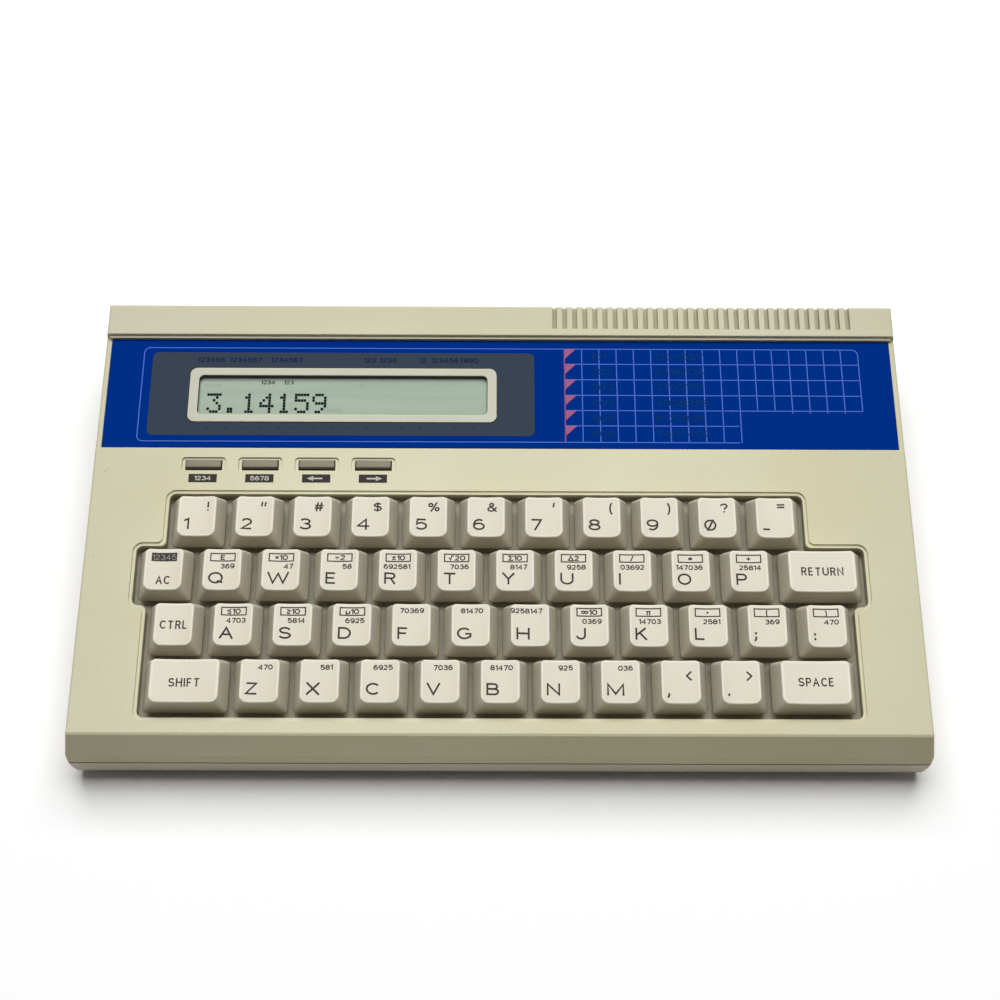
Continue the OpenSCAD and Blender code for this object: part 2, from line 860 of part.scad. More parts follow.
// A clear lens in the window, and a glass cell with a stepped lower plate on a carrier.
module lcd_module() {
  color(lcd_color)
    on_deck()
      translate([-frame_shift, frame_centre, -deck_thickness - 0.05]) {
        translate([0, 0, -0.1])
          linear_extrude(height = 0.85)
            rounded_square(window_length - 2 * clearance, window_width - 2 * clearance, 1.7);
        translate([0, 0, -1.1])
          centred_box(window_length + 6, window_width + 5, 1.1);
        translate([0, -1, -2.2])
          centred_box(window_length + 6, window_width + 8, 1.15);
        translate([0, -1, -4.8])
          centred_box(window_length + 12, window_width + 12, 2.7);
      }
}

// ---- board and contact sheet ----------------------------------------------

module chip(x, along, length, width) {
  on_deck()
    translate([x, along, -board_depth - board_thickness - 3.6])
      centred_box(length, width, 3.8);
}

// A spring on a plate at each end of both rows of cells.
module battery_contacts() {
  plate = 0.5;
  for (sx = [-1, 1])
    for (sy = [-1, 1])
      translate([sx * bay_length / 2, bay_y + sy * (cell_diameter / 2 + 0.15), cell_axis_z])
        rotate([0, -sx * 90, 0]) {
          translate([-4, -5, 0])
            cube([8, 10, plate]);
          cylinder(r = 3, h = bay_length / 2 - cell_length - 0.2);
        }
}

module main_board() {
  block_low = board_rear_top - 1;
  color(board_color)
    difference() {
      union() {
        on_deck()
          translate([-board_width / 2, front_rim + 1, -board_depth - board_thickness])
            cube([board_width, slope_at(board_rear, -board_depth) - front_rim - 1, board_thickness]);
        chip(-60, 50, 52, 15);
        chip(10, 50, 38, 15);
        chip(70, 50, 26, 8);
        chip(-20, 78, 26, 8);
        chip(60, 78, 20, 8);
        // blocks of the power inlet and the audio jacks
        translate([inlet_x - 5, board_rear - 11, block_low])
          cube([10, 12, jack_z + 4.2 - block_low]);
        translate([inlet_x, rear_y - 0.2, jack_z])
          rotate([90, 0, 0])
            cylinder(r = inlet_radius + 1, h = 4);
        for (x = audio_x) {
          translate([x - 4, board_rear - 12, block_low])
            cube([8, 13, jack_z + 4 - block_low]);
          translate([x, rear_y - 0.2, jack_z])
            rotate([90, 0, 0])
              cylinder(r = jack_radius + 1.4, h = 4);
        }
        // card-edge expansion socket, flush with the rear wall
        translate([socket_x - 24, board_rear - 8, block_low])
          cube([48, 9, jack_z + 4 - block_low]);
        translate([socket_x - 24, board_rear - 1, jack_z - 3.85])
          cube([48, wall + 2, 7.7]);
        battery_contacts();
      }
      // the blocks end below the deck's underside
      on_deck()
        translate([-board_width / 2, front_rim, -deck_thickness - 2 * clearance])
          cube([board_width, header_front + 1 + clearance - front_rim, 9]);
      translate([inlet_x, rear_y + 1, jack_z])
        rotate([90, 0, 0])
          cylinder(r = inlet_radius, h = 11);
      for (x = audio_x)
        translate([x, rear_y + 1, jack_z])
          rotate([90, 0, 0])
            cylinder(r = jack_radius, h = 13);
      translate([socket_x - 21, rear_y - 8, jack_z - 1])
        cube([42, 9, 2]);
    }
}

// A rubber sheet on the board, with a collar around each stem's path.
module dome_sheet() {
  sheet = 0.8;
  color(rubber_color)
    on_deck()
      difference() {
        union() {
          translate([-5.5 * key_pitch - 6, cell_edge, -board_depth + 0.02])
            cube([11 * key_pitch + 12, 4 * key_pitch, sheet]);
          translate([-5.75 * key_pitch - 6, row_at(1) - key_pitch / 2, -board_depth + 0.02])
            cube([11.5 * key_pitch + 12, key_pitch, sheet]);
          translate([0, 0, -board_depth + 0.02])
            linear_extrude(height = 2.2)
              at_every_key()
                circle(r = 5);
        }
        translate([0, 0, -board_depth - 1])
          linear_extrude(height = 6)
            at_every_key()
              circle(r = 3.9);
      }
}

// A slider in the rear wall's recess, with a flange behind the wall.
module power_switch() {
  color(switch_color)
    translate([switch_x - switch_travel / 2, 0, jack_z]) {
      translate([-switch_knob / 2, rear_y - wall - 1.3, -1.5])
        cube([switch_knob, wall + 1.1, 3]);
      translate([-switch_flange / 2, rear_y - wall - 2.3, -3])
        cube([switch_flange, 1, 6]);
    }
}

top_cover();
bottom_cover();
display_panel();
lcd_module();
main_board();
dome_sheet();
batteries();
case_screws();
battery_door();
power_switch();
button_mode();
button_program();
button_left();
button_right();
key_1();
key_2();
key_3();
key_4();
key_5();
key_6();
key_7();
key_8();
key_9();
key_0();
key_equals();
key_ac();
key_q();
key_w();
key_e();
key_r();
key_t();
key_y();
key_u();
key_i();
key_o();
key_p();
key_return();
key_ctrl();
key_a();
key_s();
key_d();
key_f();
key_g();
key_h();
key_j();
key_k();
key_l();
key_semicolon();
key_colon();
key_shift();
key_z();
key_x();
key_c();
key_v();
key_b();
key_n();
key_m();
key_comma();
key_period();
key_space();
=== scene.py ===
import math
import bmesh
import bpy
from mathutils import Matrix, Vector


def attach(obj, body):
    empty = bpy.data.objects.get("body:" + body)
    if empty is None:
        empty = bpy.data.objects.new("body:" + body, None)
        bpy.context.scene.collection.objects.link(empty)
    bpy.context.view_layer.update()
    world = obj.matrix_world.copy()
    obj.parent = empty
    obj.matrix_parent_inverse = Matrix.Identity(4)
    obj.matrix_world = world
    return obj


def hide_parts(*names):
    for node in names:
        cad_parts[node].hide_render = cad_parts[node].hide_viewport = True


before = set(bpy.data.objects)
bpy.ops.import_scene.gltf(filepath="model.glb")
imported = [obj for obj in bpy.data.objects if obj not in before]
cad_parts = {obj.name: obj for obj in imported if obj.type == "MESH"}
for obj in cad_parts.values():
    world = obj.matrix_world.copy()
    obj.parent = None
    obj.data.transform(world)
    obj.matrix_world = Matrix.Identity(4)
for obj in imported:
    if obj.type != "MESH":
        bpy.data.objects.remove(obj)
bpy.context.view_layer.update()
print("frame loaded:", len(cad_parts), "nodes")

mm = 0.001
scene = bpy.context.scene
scene.view_settings.view_transform = "Standard"


def hexColour(text):
    # sRGB hex to the linear colour that Blender works in
    channels = [int(text[i:i + 2], 16) / 255 for i in (1, 3, 5)]
    linear = [c / 12.92 if c <= 0.04045 else ((c + 0.055) / 1.055) ** 2.4 for c in channels]
    return (*linear, 1.0)


def addNode(tree, kind, settings=None, values=None, links=None):
    # a link comes from a socket, or from the first output of a node
    node = tree.nodes.new("ShaderNode" + kind)
    for name, value in (settings or {}).items():
        setattr(node, name, value)
    for name, value in (values or {}).items():
        node.inputs[name].default_value = value
    for name, source in (links or {}).items():
        tree.links.new(getattr(source, "outputs", [source])[0], node.inputs[name])
    return node


def startMaterial(name):
    # an empty material, its nodes, and the place on the piece that its patterns follow
    material = bpy.data.materials.new(name)
    material.use_nodes = True
    tree = material.node_tree
    tree.nodes.clear()
    return material, tree, addNode(tree, "TexCoord").outputs["Object"]


def finishMaterial(material, shader):
    addNode(material.node_tree, "OutputMaterial", links={"Surface": shader})
    return material


def addObject(name, data):
    thing = bpy.data.objects.new(name, data)
    scene.collection.objects.link(thing)
    return thing


# camera: above the front edge, looking down at the keys

cameraLook = {
    "place": (-2.7 * mm, -285.6 * mm, 558.7 * mm),
    "turn": (28.918, -0.304, 0.053),  # degrees
    "lens": 64.94,
    "sensor": 36,
}


def addCamera():
    data = bpy.data.cameras.new("camera")
    data.lens = cameraLook["lens"]
    data.sensor_width = cameraLook["sensor"]
    camera = addObject("camera", data)
    camera.location = cameraLook["place"]
    camera.rotation_euler = [math.radians(a) for a in cameraLook["turn"]]
    scene.camera = camera


# floor and studio light

studio = {
    "floorSize": 6.0,
    "fadeFrom": 0.45, "fadeTo": 0.8,  # metres over which the floor runs out into the white backdrop
    "floorColour": "#dfdbcb",  # what the floor throws back at the case
    "floorWhite": 1.085,  # how pale the camera sees it
    "skyColour": "#ffffff",
    "skyStrength": 0.06,
    "softbox": {"place": (0.06, 1.84, 4.33), "length": 4.6, "width": 3.9, "power": 263},
}


def seenRays(tree):
    # 1 for what the camera sees, straight or in gloss and glass, and 0 for light on the case
    path = addNode(tree, "LightPath").outputs
    glossy = addNode(tree, "Math", {"operation": "MAXIMUM"},
                     links={0: path["Is Camera Ray"], 1: path["Is Glossy Ray"]})
    return addNode(tree, "Math", {"operation": "MAXIMUM"},
                   links={0: glossy, 1: path["Is Transmission Ray"]})


def studioPaper():
    # matt paper that throws a warm light back, and to the eye runs out into the white backdrop
    material, tree, place = startMaterial("studio paper")
    paper = addNode(tree, "BsdfPrincipled", values={
        "Base Color": hexColour(studio["floorColour"]), "Roughness": 0.9, "Specular IOR Level": 0.1})
    white = addNode(tree, "BsdfDiffuse", values={"Color": (studio["floorWhite"],) * 3 + (1,)})
    glow = addNode(tree, "Emission", values={"Color": hexColour(studio["skyColour"])})
    reach = addNode(tree, "VectorMath", {"operation": "LENGTH"}, links={0: place})
    fade = addNode(tree, "MapRange", values={"From Min": studio["fadeFrom"], "From Max": studio["fadeTo"]},
                   links={"Value": reach.outputs["Value"]})
    sweep = addNode(tree, "MixShader", links={0: fade, 1: white, 2: glow})
    pick = addNode(tree, "MixShader", links={0: seenRays(tree), 1: paper, 2: sweep})
    return finishMaterial(material, pick)


def addFloor():
    half = studio["floorSize"] / 2
    corners = [(-half, -half, 0), (half, -half, 0), (half, half, 0), (-half, half, 0)]
    mesh = bpy.data.meshes.new("floor")
    mesh.from_pydata(corners, [], [(0, 1, 2, 3)])
    mesh.materials.append(studioPaper())
    addObject("floor", mesh)


def addSky():
    world = bpy.data.worlds.new("studio")
    world.use_nodes = True
    scene.world = world
    tree = world.node_tree
    tree.nodes.clear()
    strength = addNode(tree, "MapRange", values={"To Min": studio["skyStrength"]},
                       links={"Value": seenRays(tree)})
    sky = addNode(tree, "Background", values={"Color": hexColour(studio["skyColour"])},
                  links={"Strength": strength})
    addNode(tree, "OutputWorld", links={"Surface": sky})


def addSoftbox():
    look = studio["softbox"]
    data = bpy.data.lights.new("softbox", "AREA")
    data.shape = "RECTANGLE"
    data.size = look["length"]
    data.size_y = look["width"]
    data.energy = look["power"]
    lamp = addObject("softbox", data)
    lamp.location = look["place"]
    lamp.rotation_euler = (-Vector(look["place"])).to_track_quat("-Z", "Y").to_euler()


addCamera()
addFloor()
addSky()
addSoftbox()
print("camera, floor and lamp placed")


# deck coordinates: x to the right, y up the slope from the deck's front edge, z above the deck

deck = {"frontY": -75.6 * mm, "frontZ": 25.5 * mm, "slope": 4}  # the slope in degrees
toDeck = Matrix.Translation((0, deck["frontY"], deck["frontZ"])) @ Matrix.Rotation(
    math.radians(deck["slope"]), 4, "X")


def placeOnDeck(name, mesh, place, body):
    piece = addObject(name, mesh)
    piece.matrix_world = toDeck @ Matrix.Translation(place)
    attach(piece, body)
    return piece


# materials; every length is in millimetres

rgba = {"data_type": "RGBA"}  # makes a Mix node blend colours
# painted shade on the upper shell: the floor of the key well, a falloff of light towards both ends, and the
# header
paintedShade = {
    "well": {"top": -0.9, "bottom": -3.2, "middle": 53, "halfLength": 130, "halfWidth": 50},
    "ends": {"from": 60, "to": 138, "most": 0.19},
    "header": {"from": 128, "to": 150, "most": 0.2},
}


def paintedShadeParts(tree, place):
    # painted shade on the case: darkest on the floor of the key well, with a painted falloff of light
    # towards the ends and painted shade on the header
    well, ends, header = paintedShade["well"], paintedShade["ends"], paintedShade["header"]
    onDeck = addNode(tree, "Mapping", {"vector_type": "TEXTURE"},
                     {"Location": (0, deck["frontY"], deck["frontZ"]),
                      "Rotation": (math.radians(deck["slope"]), 0, 0)}, {"Vector": place})
    height = addNode(tree, "SeparateXYZ", links={"Vector": onDeck})
    low = addNode(tree, "MapRange", values={"From Min": well["top"] * mm, "From Max": well["bottom"] * mm},
                  links={"Value": height.outputs["Z"]})
    fromMiddle = addNode(tree, "VectorMath", {"operation": "SUBTRACT"}, {1: (0, well["middle"] * mm, 0)},
                         {0: onDeck})
    reach = addNode(tree, "VectorMath", {"operation": "ABSOLUTE"}, links={0: fromMiddle})
    span = addNode(tree, "SeparateXYZ", links={"Vector": reach})
    across = addNode(tree, "Math", {"operation": "LESS_THAN"}, {1: well["halfLength"] * mm},
                     {0: span.outputs["X"]})
    along = addNode(tree, "Math", {"operation": "LESS_THAN"}, {1: well["halfWidth"] * mm},
                    {0: span.outputs["Y"]})
    inside = addNode(tree, "Math", {"operation": "MULTIPLY"}, links={0: across, 1: along})
    atEnds = addNode(tree, "MapRange", values={"From Min": ends["from"] * mm, "From Max": ends["to"] * mm,
                                               "To Max": ends["most"]}, links={"Value": span.outputs["X"]})
    atHeader = addNode(tree, "MapRange",
                       values={"From Min": header["from"] * mm, "From Max": header["to"] * mm,
                               "To Max": header["most"]}, links={"Value": height.outputs["Y"]})
    outside = addNode(tree, "Math", {"operation": "ADD"}, links={0: atEnds, 1: atHeader})
    return addNode(tree, "Math", {"operation": "MULTIPLY_ADD"}, links={0: low, 1: inside, 2: outside})


def mouldedPlastic(name, look):
    # ABS or PBT from a spark-eroded mould: a fine even grain, soft sheen, slight yellowing in
    # patches and edges that the mould has rounded; some looks add a painted highlight on rims and painted
    # shade
    material, tree, place = startMaterial(name)
    patches = addNode(tree, "TexNoise", values={"Scale": 1 / (look["patch"] * mm)}, links={"Vector": place})
    speck = addNode(tree, "TexNoise", values={"Scale": 1 / (look["grain"] * mm), "Detail": 1.0},
                    links={"Vector": place})
    tone = addNode(tree, "MapRange", values={"From Min": 0.35, "From Max": 0.65}, links={"Value": patches})
    colour = addNode(tree, "Mix", rgba,
                     {6: hexColour(look["colour"]), 7: hexColour(look["aged"])}, {0: tone})
    grain = addNode(tree, "MapRange", values={"From Min": 0.3, "From Max": 0.7,
                                              "To Min": 1 - look["speckle"], "To Max": 1 + look["speckle"]},
                    links={"Value": speck})
    if "rim" in look:
        # the mesh says where: 1 for a painted highlight on a rim, -1 for painted shade at a foot
        shadeAndHighlight = addNode(tree, "Attribute", {"attribute_name": "edge"}).outputs["Fac"]
        shadeMask = addNode(tree, "Math", {"operation": "MULTIPLY"}, {1: -1.0}, {0: shadeAndHighlight})
        colour = addNode(tree, "Mix", rgba, {7: hexColour(look["rim"])},
                         {0: shadeAndHighlight, 6: colour.outputs[2]})
    elif "paintedShade" in look:
        shadeMask = paintedShadeParts(tree, place)
    # darken towards the painted shade colour
    if "paintedShade" in look:
        colour = addNode(tree, "Mix", rgba, {7: hexColour(look["paintedShade"])},
                         {0: shadeMask, 6: colour.outputs[2]})
    flecked = addNode(tree, "VectorMath", {"operation": "SCALE"},
                      links={"Vector": colour.outputs[2], "Scale": grain})
    spread = 0.06  # of the roughness, from speck to speck
    rough = addNode(tree, "MapRange", values={"From Min": 0.3, "From Max": 0.7,
                                              "To Min": look["roughness"] - spread,
                                              "To Max": look["roughness"] + spread}, links={"Value": speck})
    edge = addNode(tree, "Bevel", {"samples": 4}, {"Radius": look["edge"] * mm})
    bump = addNode(tree, "Bump", values={"Strength": look["bump"], "Distance": 0.05 * mm},
                   links={"Height": speck, "Normal": edge})
    shader = addNode(tree, "BsdfPrincipled",
                     values={"IOR": look["ior"], "Specular IOR Level": look["sheen"]},
                     links={"Base Color": flecked, "Roughness": rough, "Normal": bump})
    return finishMaterial(material, shader)


# upper shell: yellowed ivory, with painted shade in the key well, towards the ends and on the header
caseUpper = mouldedPlastic("ABS moulded ivory", {
    "colour": "#dad6b8", "aged": "#d4cfac", "paintedShade": "#a5a18b", "patch": 60, "grain": 0.7, "speckle": 0.025,
    "roughness": 0.55, "bump": 0.25, "edge": 0.3, "ior": 1.53, "sheen": 0.35})
# lower shell: the same grain, less yellowed
caseLower = mouldedPlastic("ABS moulded ivory lower", {
    "colour": "#d3cdc2", "aged": "#ccc5b8", "patch": 60, "grain": 0.7, "speckle": 0.03,
    "roughness": 0.6, "bump": 0.3, "edge": 0.3, "ior": 1.53, "sheen": 0.35})
# display frame: a finer grain and a cooler tint
framePlastic = mouldedPlastic("ABS moulded pale grey", {
    "colour": "#c7c7b6", "aged": "#c2c2b0", "patch": 20, "grain": 0.6, "speckle": 0.02,
    "roughness": 0.5, "bump": 0.15, "edge": 0.1, "ior": 1.53, "sheen": 0.35})
# groove floors: dull, and darker as painted shade
grooveShadePlastic = mouldedPlastic("ABS moulded ivory in painted shade", {
    "colour": "#bab69f", "aged": "#b3af96", "patch": 8, "grain": 0.5, "speckle": 0.04,
    "roughness": 0.8, "bump": 0.2, "edge": 0.1, "ior": 1.5, "sheen": 0.1})
# keycaps: denser and a little glossier, with a painted highlight on the rims and painted shade down towards
# the feet
keyPlastic = mouldedPlastic("PBT moulded cream", {
    "colour": "#e0d9c5", "aged": "#dad3bd", "rim": "#efe8d6", "paintedShade": "#a8a28f",
    "patch": 25, "grain": 0.6, "speckle": 0.015,
    "roughness": 0.48, "bump": 0.15, "edge": 0.15, "ior": 1.55, "sheen": 0.4})
# function buttons: warm grey, with painted shade that goes nearly black down their front into the slots,
# and a paler colour for a painted highlight on rims
buttonPlastic = mouldedPlastic("ABS moulded warm grey", {
    "colour": "#79725e", "aged": "#746d59", "rim": "#a09985", "paintedShade": "#332f23",
    "patch": 12, "grain": 0.5, "speckle": 0.02,
    "roughness": 0.5, "bump": 0.15, "edge": 0.2, "ior": 1.53, "sheen": 0.4})
# switch, and the dark sheet that paints shade on the window wall: black, with a dull shine
darkPlastic = mouldedPlastic("ABS moulded black", {
    "colour": "#2b2b2a", "aged": "#333230", "patch": 12, "grain": 0.5, "speckle": 0.04,
    "roughness": 0.5, "bump": 0.2, "edge": 0.15, "ior": 1.53, "sheen": 0.4})
# contact sheet: soft, matt rubber
sheetRubber = mouldedPlastic("silicone rubber grey", {
    "colour": "#5a5a58", "aged": "#626260", "patch": 20, "grain": 0.4, "speckle": 0.03,
    "roughness": 0.75, "bump": 0.1, "edge": 0.2, "ior": 1.42, "sheen": 0.3})


def printedInk(name, colour, roughness=0.5, cloud=0.06, sheen=0.2):
    # screen-printed ink: thin, even, a little open where the mesh left it
    material, tree, place = startMaterial(name)
    mesh = addNode(tree, "TexNoise", values={"Scale": 1 / (0.5 * mm), "Detail": 1.0},
                   links={"Vector": place})
    tone = addNode(tree, "MapRange", values={"To Min": 1 - cloud, "To Max": 1 + cloud},
                   links={"Value": mesh})
    ink = addNode(tree, "RGB")
    ink.outputs[0].default_value = hexColour(colour)
    uneven = addNode(tree, "VectorMath", {"operation": "SCALE"}, links={"Vector": ink, "Scale": tone})
    shader = addNode(tree, "BsdfPrincipled", values={"Roughness": roughness, "Specular IOR Level": sheen},
                     links={"Base Color": uneven})
    return finishMaterial(material, shader)


blackInk = printedInk("black screen ink", "#1d1b19")  # dense, on the keys
creamInk = printedInk("cream screen ink", "#cfcaba")
labelInk = printedInk("dark grey screen ink", "#2c2b28", sheen=0.1)
labelPaint = printedInk("grey screen ink", "#9a968a")
filmInk = printedInk("blue polyester film", "#00318a", cloud=0.03, sheen=0.0)  # deep and matt
greyInk = printedInk("smoked grey film", "#36404f", cloud=0.03, sheen=0.04)
rustStain = printedInk("rust stain", "#8f7f62", 0.8, 0.2, 0.1)  # dull and cloudy
lilacInk = printedInk("lilac screen ink", "#5878d8", sheen=0.0)
pinkInk = printedInk("pink screen ink", "#a8648f", sheen=0.0)
hiddenInk = printedInk("dark blue screen ink", "#143a72", sheen=0.0)  # barely parts from the film
captionInk = printedInk("blue black screen ink", "#1f2d4c", sheen=0.0)
dotInk = printedInk("display dot", "#151c1c", sheen=0.0)
ghostInk = printedInk("display dot unlit", "#94a596", 0.4)  # a trace of the segments that are off


glassLook = {"colour": "#a0b2a2", "pale": "#adbca8", "streaks": (83.3, 3.85, 16.7)}


def displayGlass():
    # reflective liquid crystal under a matt film: grey green, with faint streaks along its length
    material, tree, place = startMaterial("display glass film")
    streaks = addNode(tree, "Mapping", values={"Scale": [1 / (size * mm) for size in glassLook["streaks"]]},
                      links={"Vector": place})
    wave = addNode(tree, "TexNoise", values={"Scale": 1.0, "Detail": 3.0}, links={"Vector": streaks})
    tone = addNode(tree, "MapRange", values={"From Min": 0.3, "From Max": 0.7}, links={"Value": wave})
    colour = addNode(tree, "Mix", rgba,
                     {6: hexColour(glassLook["colour"]), 7: hexColour(glassLook["pale"])}, {0: tone})
    shader = addNode(tree, "BsdfPrincipled", values={"Roughness": 0.4, "Specular IOR Level": 0.1},
                     links={"Base Color": colour.outputs[2]})
    return finishMaterial(material, shader)


def zincSteel():
    # zinc-plated steel: turned and tumbled, a fine satin
    material, tree, place = startMaterial("zinc plated steel")
    tumble = addNode(tree, "TexNoise", values={"Scale": 1 / (0.4 * mm)}, links={"Vector": place})
    rough = addNode(tree, "MapRange", values={"To Min": 0.28, "To Max": 0.45}, links={"Value": tumble})
    shader = addNode(tree, "BsdfPrincipled", values={"Base Color": hexColour("#b9bcbf"), "Metallic": 1.0},
                     links={"Roughness": rough})
    return finishMaterial(material, shader)


sleeveLook = {"colour": "#33518f", "band": "#b4b6b8", "bandFrom": 36, "grain": 1.5}


def cellSleeve():
    # shrink sleeve in plain blue with a pale band, on a steel can: smooth and slightly glossy
    material, tree, place = startMaterial("printed shrink sleeve")
    split = addNode(tree, "SeparateXYZ", links={"Vector": place})
    along = addNode(tree, "Math", {"operation": "ABSOLUTE"}, links={0: split.outputs["X"]})
    band = addNode(tree, "Math", {"operation": "GREATER_THAN"}, {1: sleeveLook["bandFrom"] * mm},
                   {0: along})
    grain = addNode(tree, "TexNoise", values={"Scale": 1 / (sleeveLook["grain"] * mm)},
                    links={"Vector": place})
    rough = addNode(tree, "MapRange", values={"To Min": 0.25, "To Max": 0.4}, links={"Value": grain})
    colour = addNode(tree, "Mix", rgba,
                     {6: hexColour(sleeveLook["colour"]), 7: hexColour(sleeveLook["band"])}, {0: band})
    shader = addNode(tree, "BsdfPrincipled", links={"Base Color": colour.outputs[2], "Roughness": rough})
    return finishMaterial(material, shader)


boardLook = {
    "mask": "#3c7f55", "bare": "#2c6242", "sockets": "#1f1f1e", "socketsFrom": 77,
    "tracks": 2.5, "grain": 0.5,
}


def circuitBoard():
    # green solder mask on glass epoxy, paler over its tracks, with black moulded sockets at the rear edge
    material, tree, place = startMaterial("FR4 board and sockets")
    split = addNode(tree, "SeparateXYZ", links={"Vector": place})
    rear = addNode(tree, "Math", {"operation": "GREATER_THAN"}, {1: boardLook["socketsFrom"] * mm},
                   {0: split.outputs["Y"]})
    tracks = addNode(tree, "TexVoronoi", {"distance": "MANHATTAN"},
                     {"Scale": 1 / (boardLook["tracks"] * mm)}, {"Vector": place})
    line = addNode(tree, "MapRange", values={"From Min": 0.2, "From Max": 0.45}, links={"Value": tracks})
    mask = addNode(tree, "Mix", rgba,
                   {6: hexColour(boardLook["mask"]), 7: hexColour(boardLook["bare"])}, {0: line})
    colour = addNode(tree, "Mix", rgba, {7: hexColour(boardLook["sockets"])},
                     {0: rear, 6: mask.outputs[2]})
    grain = addNode(tree, "TexNoise", values={"Scale": 1 / (boardLook["grain"] * mm)},
                    links={"Vector": place})
    rough = addNode(tree, "MapRange", values={"To Min": 0.35, "To Max": 0.5}, links={"Value": grain})
    shader = addNode(tree, "BsdfPrincipled", links={"Base Color": colour.outputs[2], "Roughness": rough})
    return finishMaterial(material, shader)


nodeFinish = {
    "top_cover": caseUpper, "bottom_cover": caseLower, "battery_door": caseLower,
    "display_panel": filmInk, "lcd_module": displayGlass(), "main_board": circuitBoard(),
    "dome_sheet": sheetRubber, "batteries": cellSleeve(), "case_screws": zincSteel(),
    "power_switch": darkPlastic,
}
for nodeName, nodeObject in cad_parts.items():
    finish = nodeFinish.get(nodeName, buttonPlastic if nodeName.startswith("button") else keyPlastic)
    nodeObject.data.materials.clear()
    nodeObject.data.materials.append(finish)
print("materials on", len(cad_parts), "nodes")


# keycaps

keycap = {
    "pitch": 19.05, "gap": 1.55, "height": 6.4, "stand": 5.1,
    "sideLean": 2.7, "frontLean": 1.6, "corner": 1.5, "rearCorner": 1.6, "frontCorner": 2.4,
    "sideSpans": 7, "topRound": 0.5, "roundSteps": 5,
    "dish": 0.5, "dishMargin": 0.5, "dishCorner": 1.1, "dishRings": (0.93, 0.75, 0.5, 0.25),
    "shell": 1.2, "innerCorner": 0.6, "stem": 4.4, "stemTip": 7.6, "stemRoot": 0.2,
    "foot": 0.05, "belowRound": 0.04,  # shares of the height
    # painted shade on the skirts: strongest at the foot, less at half height and under the rim
    "paintedShade": (-0.85, -0.6, -0.3),  # at the foot, at half height and under the rim
    # the corners get only part of the painted shade and painted highlight
    "cornerShare": 0.4, "shareStep": 0.2,  # what a corner has of it, and how much more each point has
    "numberRow": 73.275,
}
keyRows = [
    {"first": -5.25, "names": "1 2 3 4 5 6 7 8 9 0 equals"},
    {"first": -5.75, "names": "ac q w e r t y u i o p"},
    {"first": -5.5, "names": "ctrl a s d f g h j k l semicolon colon"},
    {"first": -4, "names": "z x c v b n m comma period"},
]
wideKeys = {"return": (1, 5.5), "shift": (3, -5.25), "space": (3, 5.25)}  # row, and place in key pitches
wideUnits = 1.5
arcSteps = 6  # of each rounded corner


def keyPlaces():
    # a key's row, its number in the row, its place and its width
    places = {}
    for row, line in enumerate(keyRows):
        for i, name in enumerate(line["names"].split()):
            places[name] = (row, i + 1, line["first"] + i, 1)
    for name, (row, place) in wideKeys.items():
        places[name] = (row, 0, place, wideUnits)
    return places


def arcPoints(x, y, radius, start):
    # a quarter turn
    angles = [math.radians(start + 90 * i / arcSteps) for i in range(arcSteps + 1)]
    return [Vector((x + radius * math.cos(a), y + radius * math.sin(a))) for a in angles]


def ringPoints(halfX, halfY, rear, front):
    # a rectangle with its rear and front corners rounded, anticlockwise from the right side,
    # with points along each side
    corners = [arcPoints(halfX - rear, halfY - rear, rear, 0),
               arcPoints(rear - halfX, halfY - rear, rear, 90),
               arcPoints(front - halfX, front - halfY, front, 180),
               arcPoints(halfX - front, front - halfY, front, 270)]
    spans = keycap["sideSpans"]
    points = []
    for arc, following in zip(corners, corners[1:] + corners[:1]):
        points += arc + [arc[-1].lerp(following[0], k / spans) for k in range(1, spans)]
    return points


def dishHeight(x, units):
    # the top is part of a cylinder that lies from the key's front to its rear
    halfChord = (units * keycap["pitch"] - keycap["gap"]) / 2 - keycap["sideLean"] - keycap["dishMargin"]
    rise = keycap["dish"]
    radius = (halfChord ** 2 + rise ** 2) / (2 * rise)
    return keycap["height"] - rise + radius - math.sqrt(radius ** 2 - x ** 2)


def joinRings(bm, lower, upper):
    # quads between two closed rings of as many points
    for i in range(len(lower)):
        j = (i + 1) % len(lower)
        bm.faces.new((lower[i], lower[j], upper[j], upper[i]))


def meshFrom(bm, name, materials):
    mesh = bpy.data.meshes.new(name)
    bm.to_mesh(mesh)
    bm.free()
    for material in materials:
        mesh.materials.append(material)
    return mesh


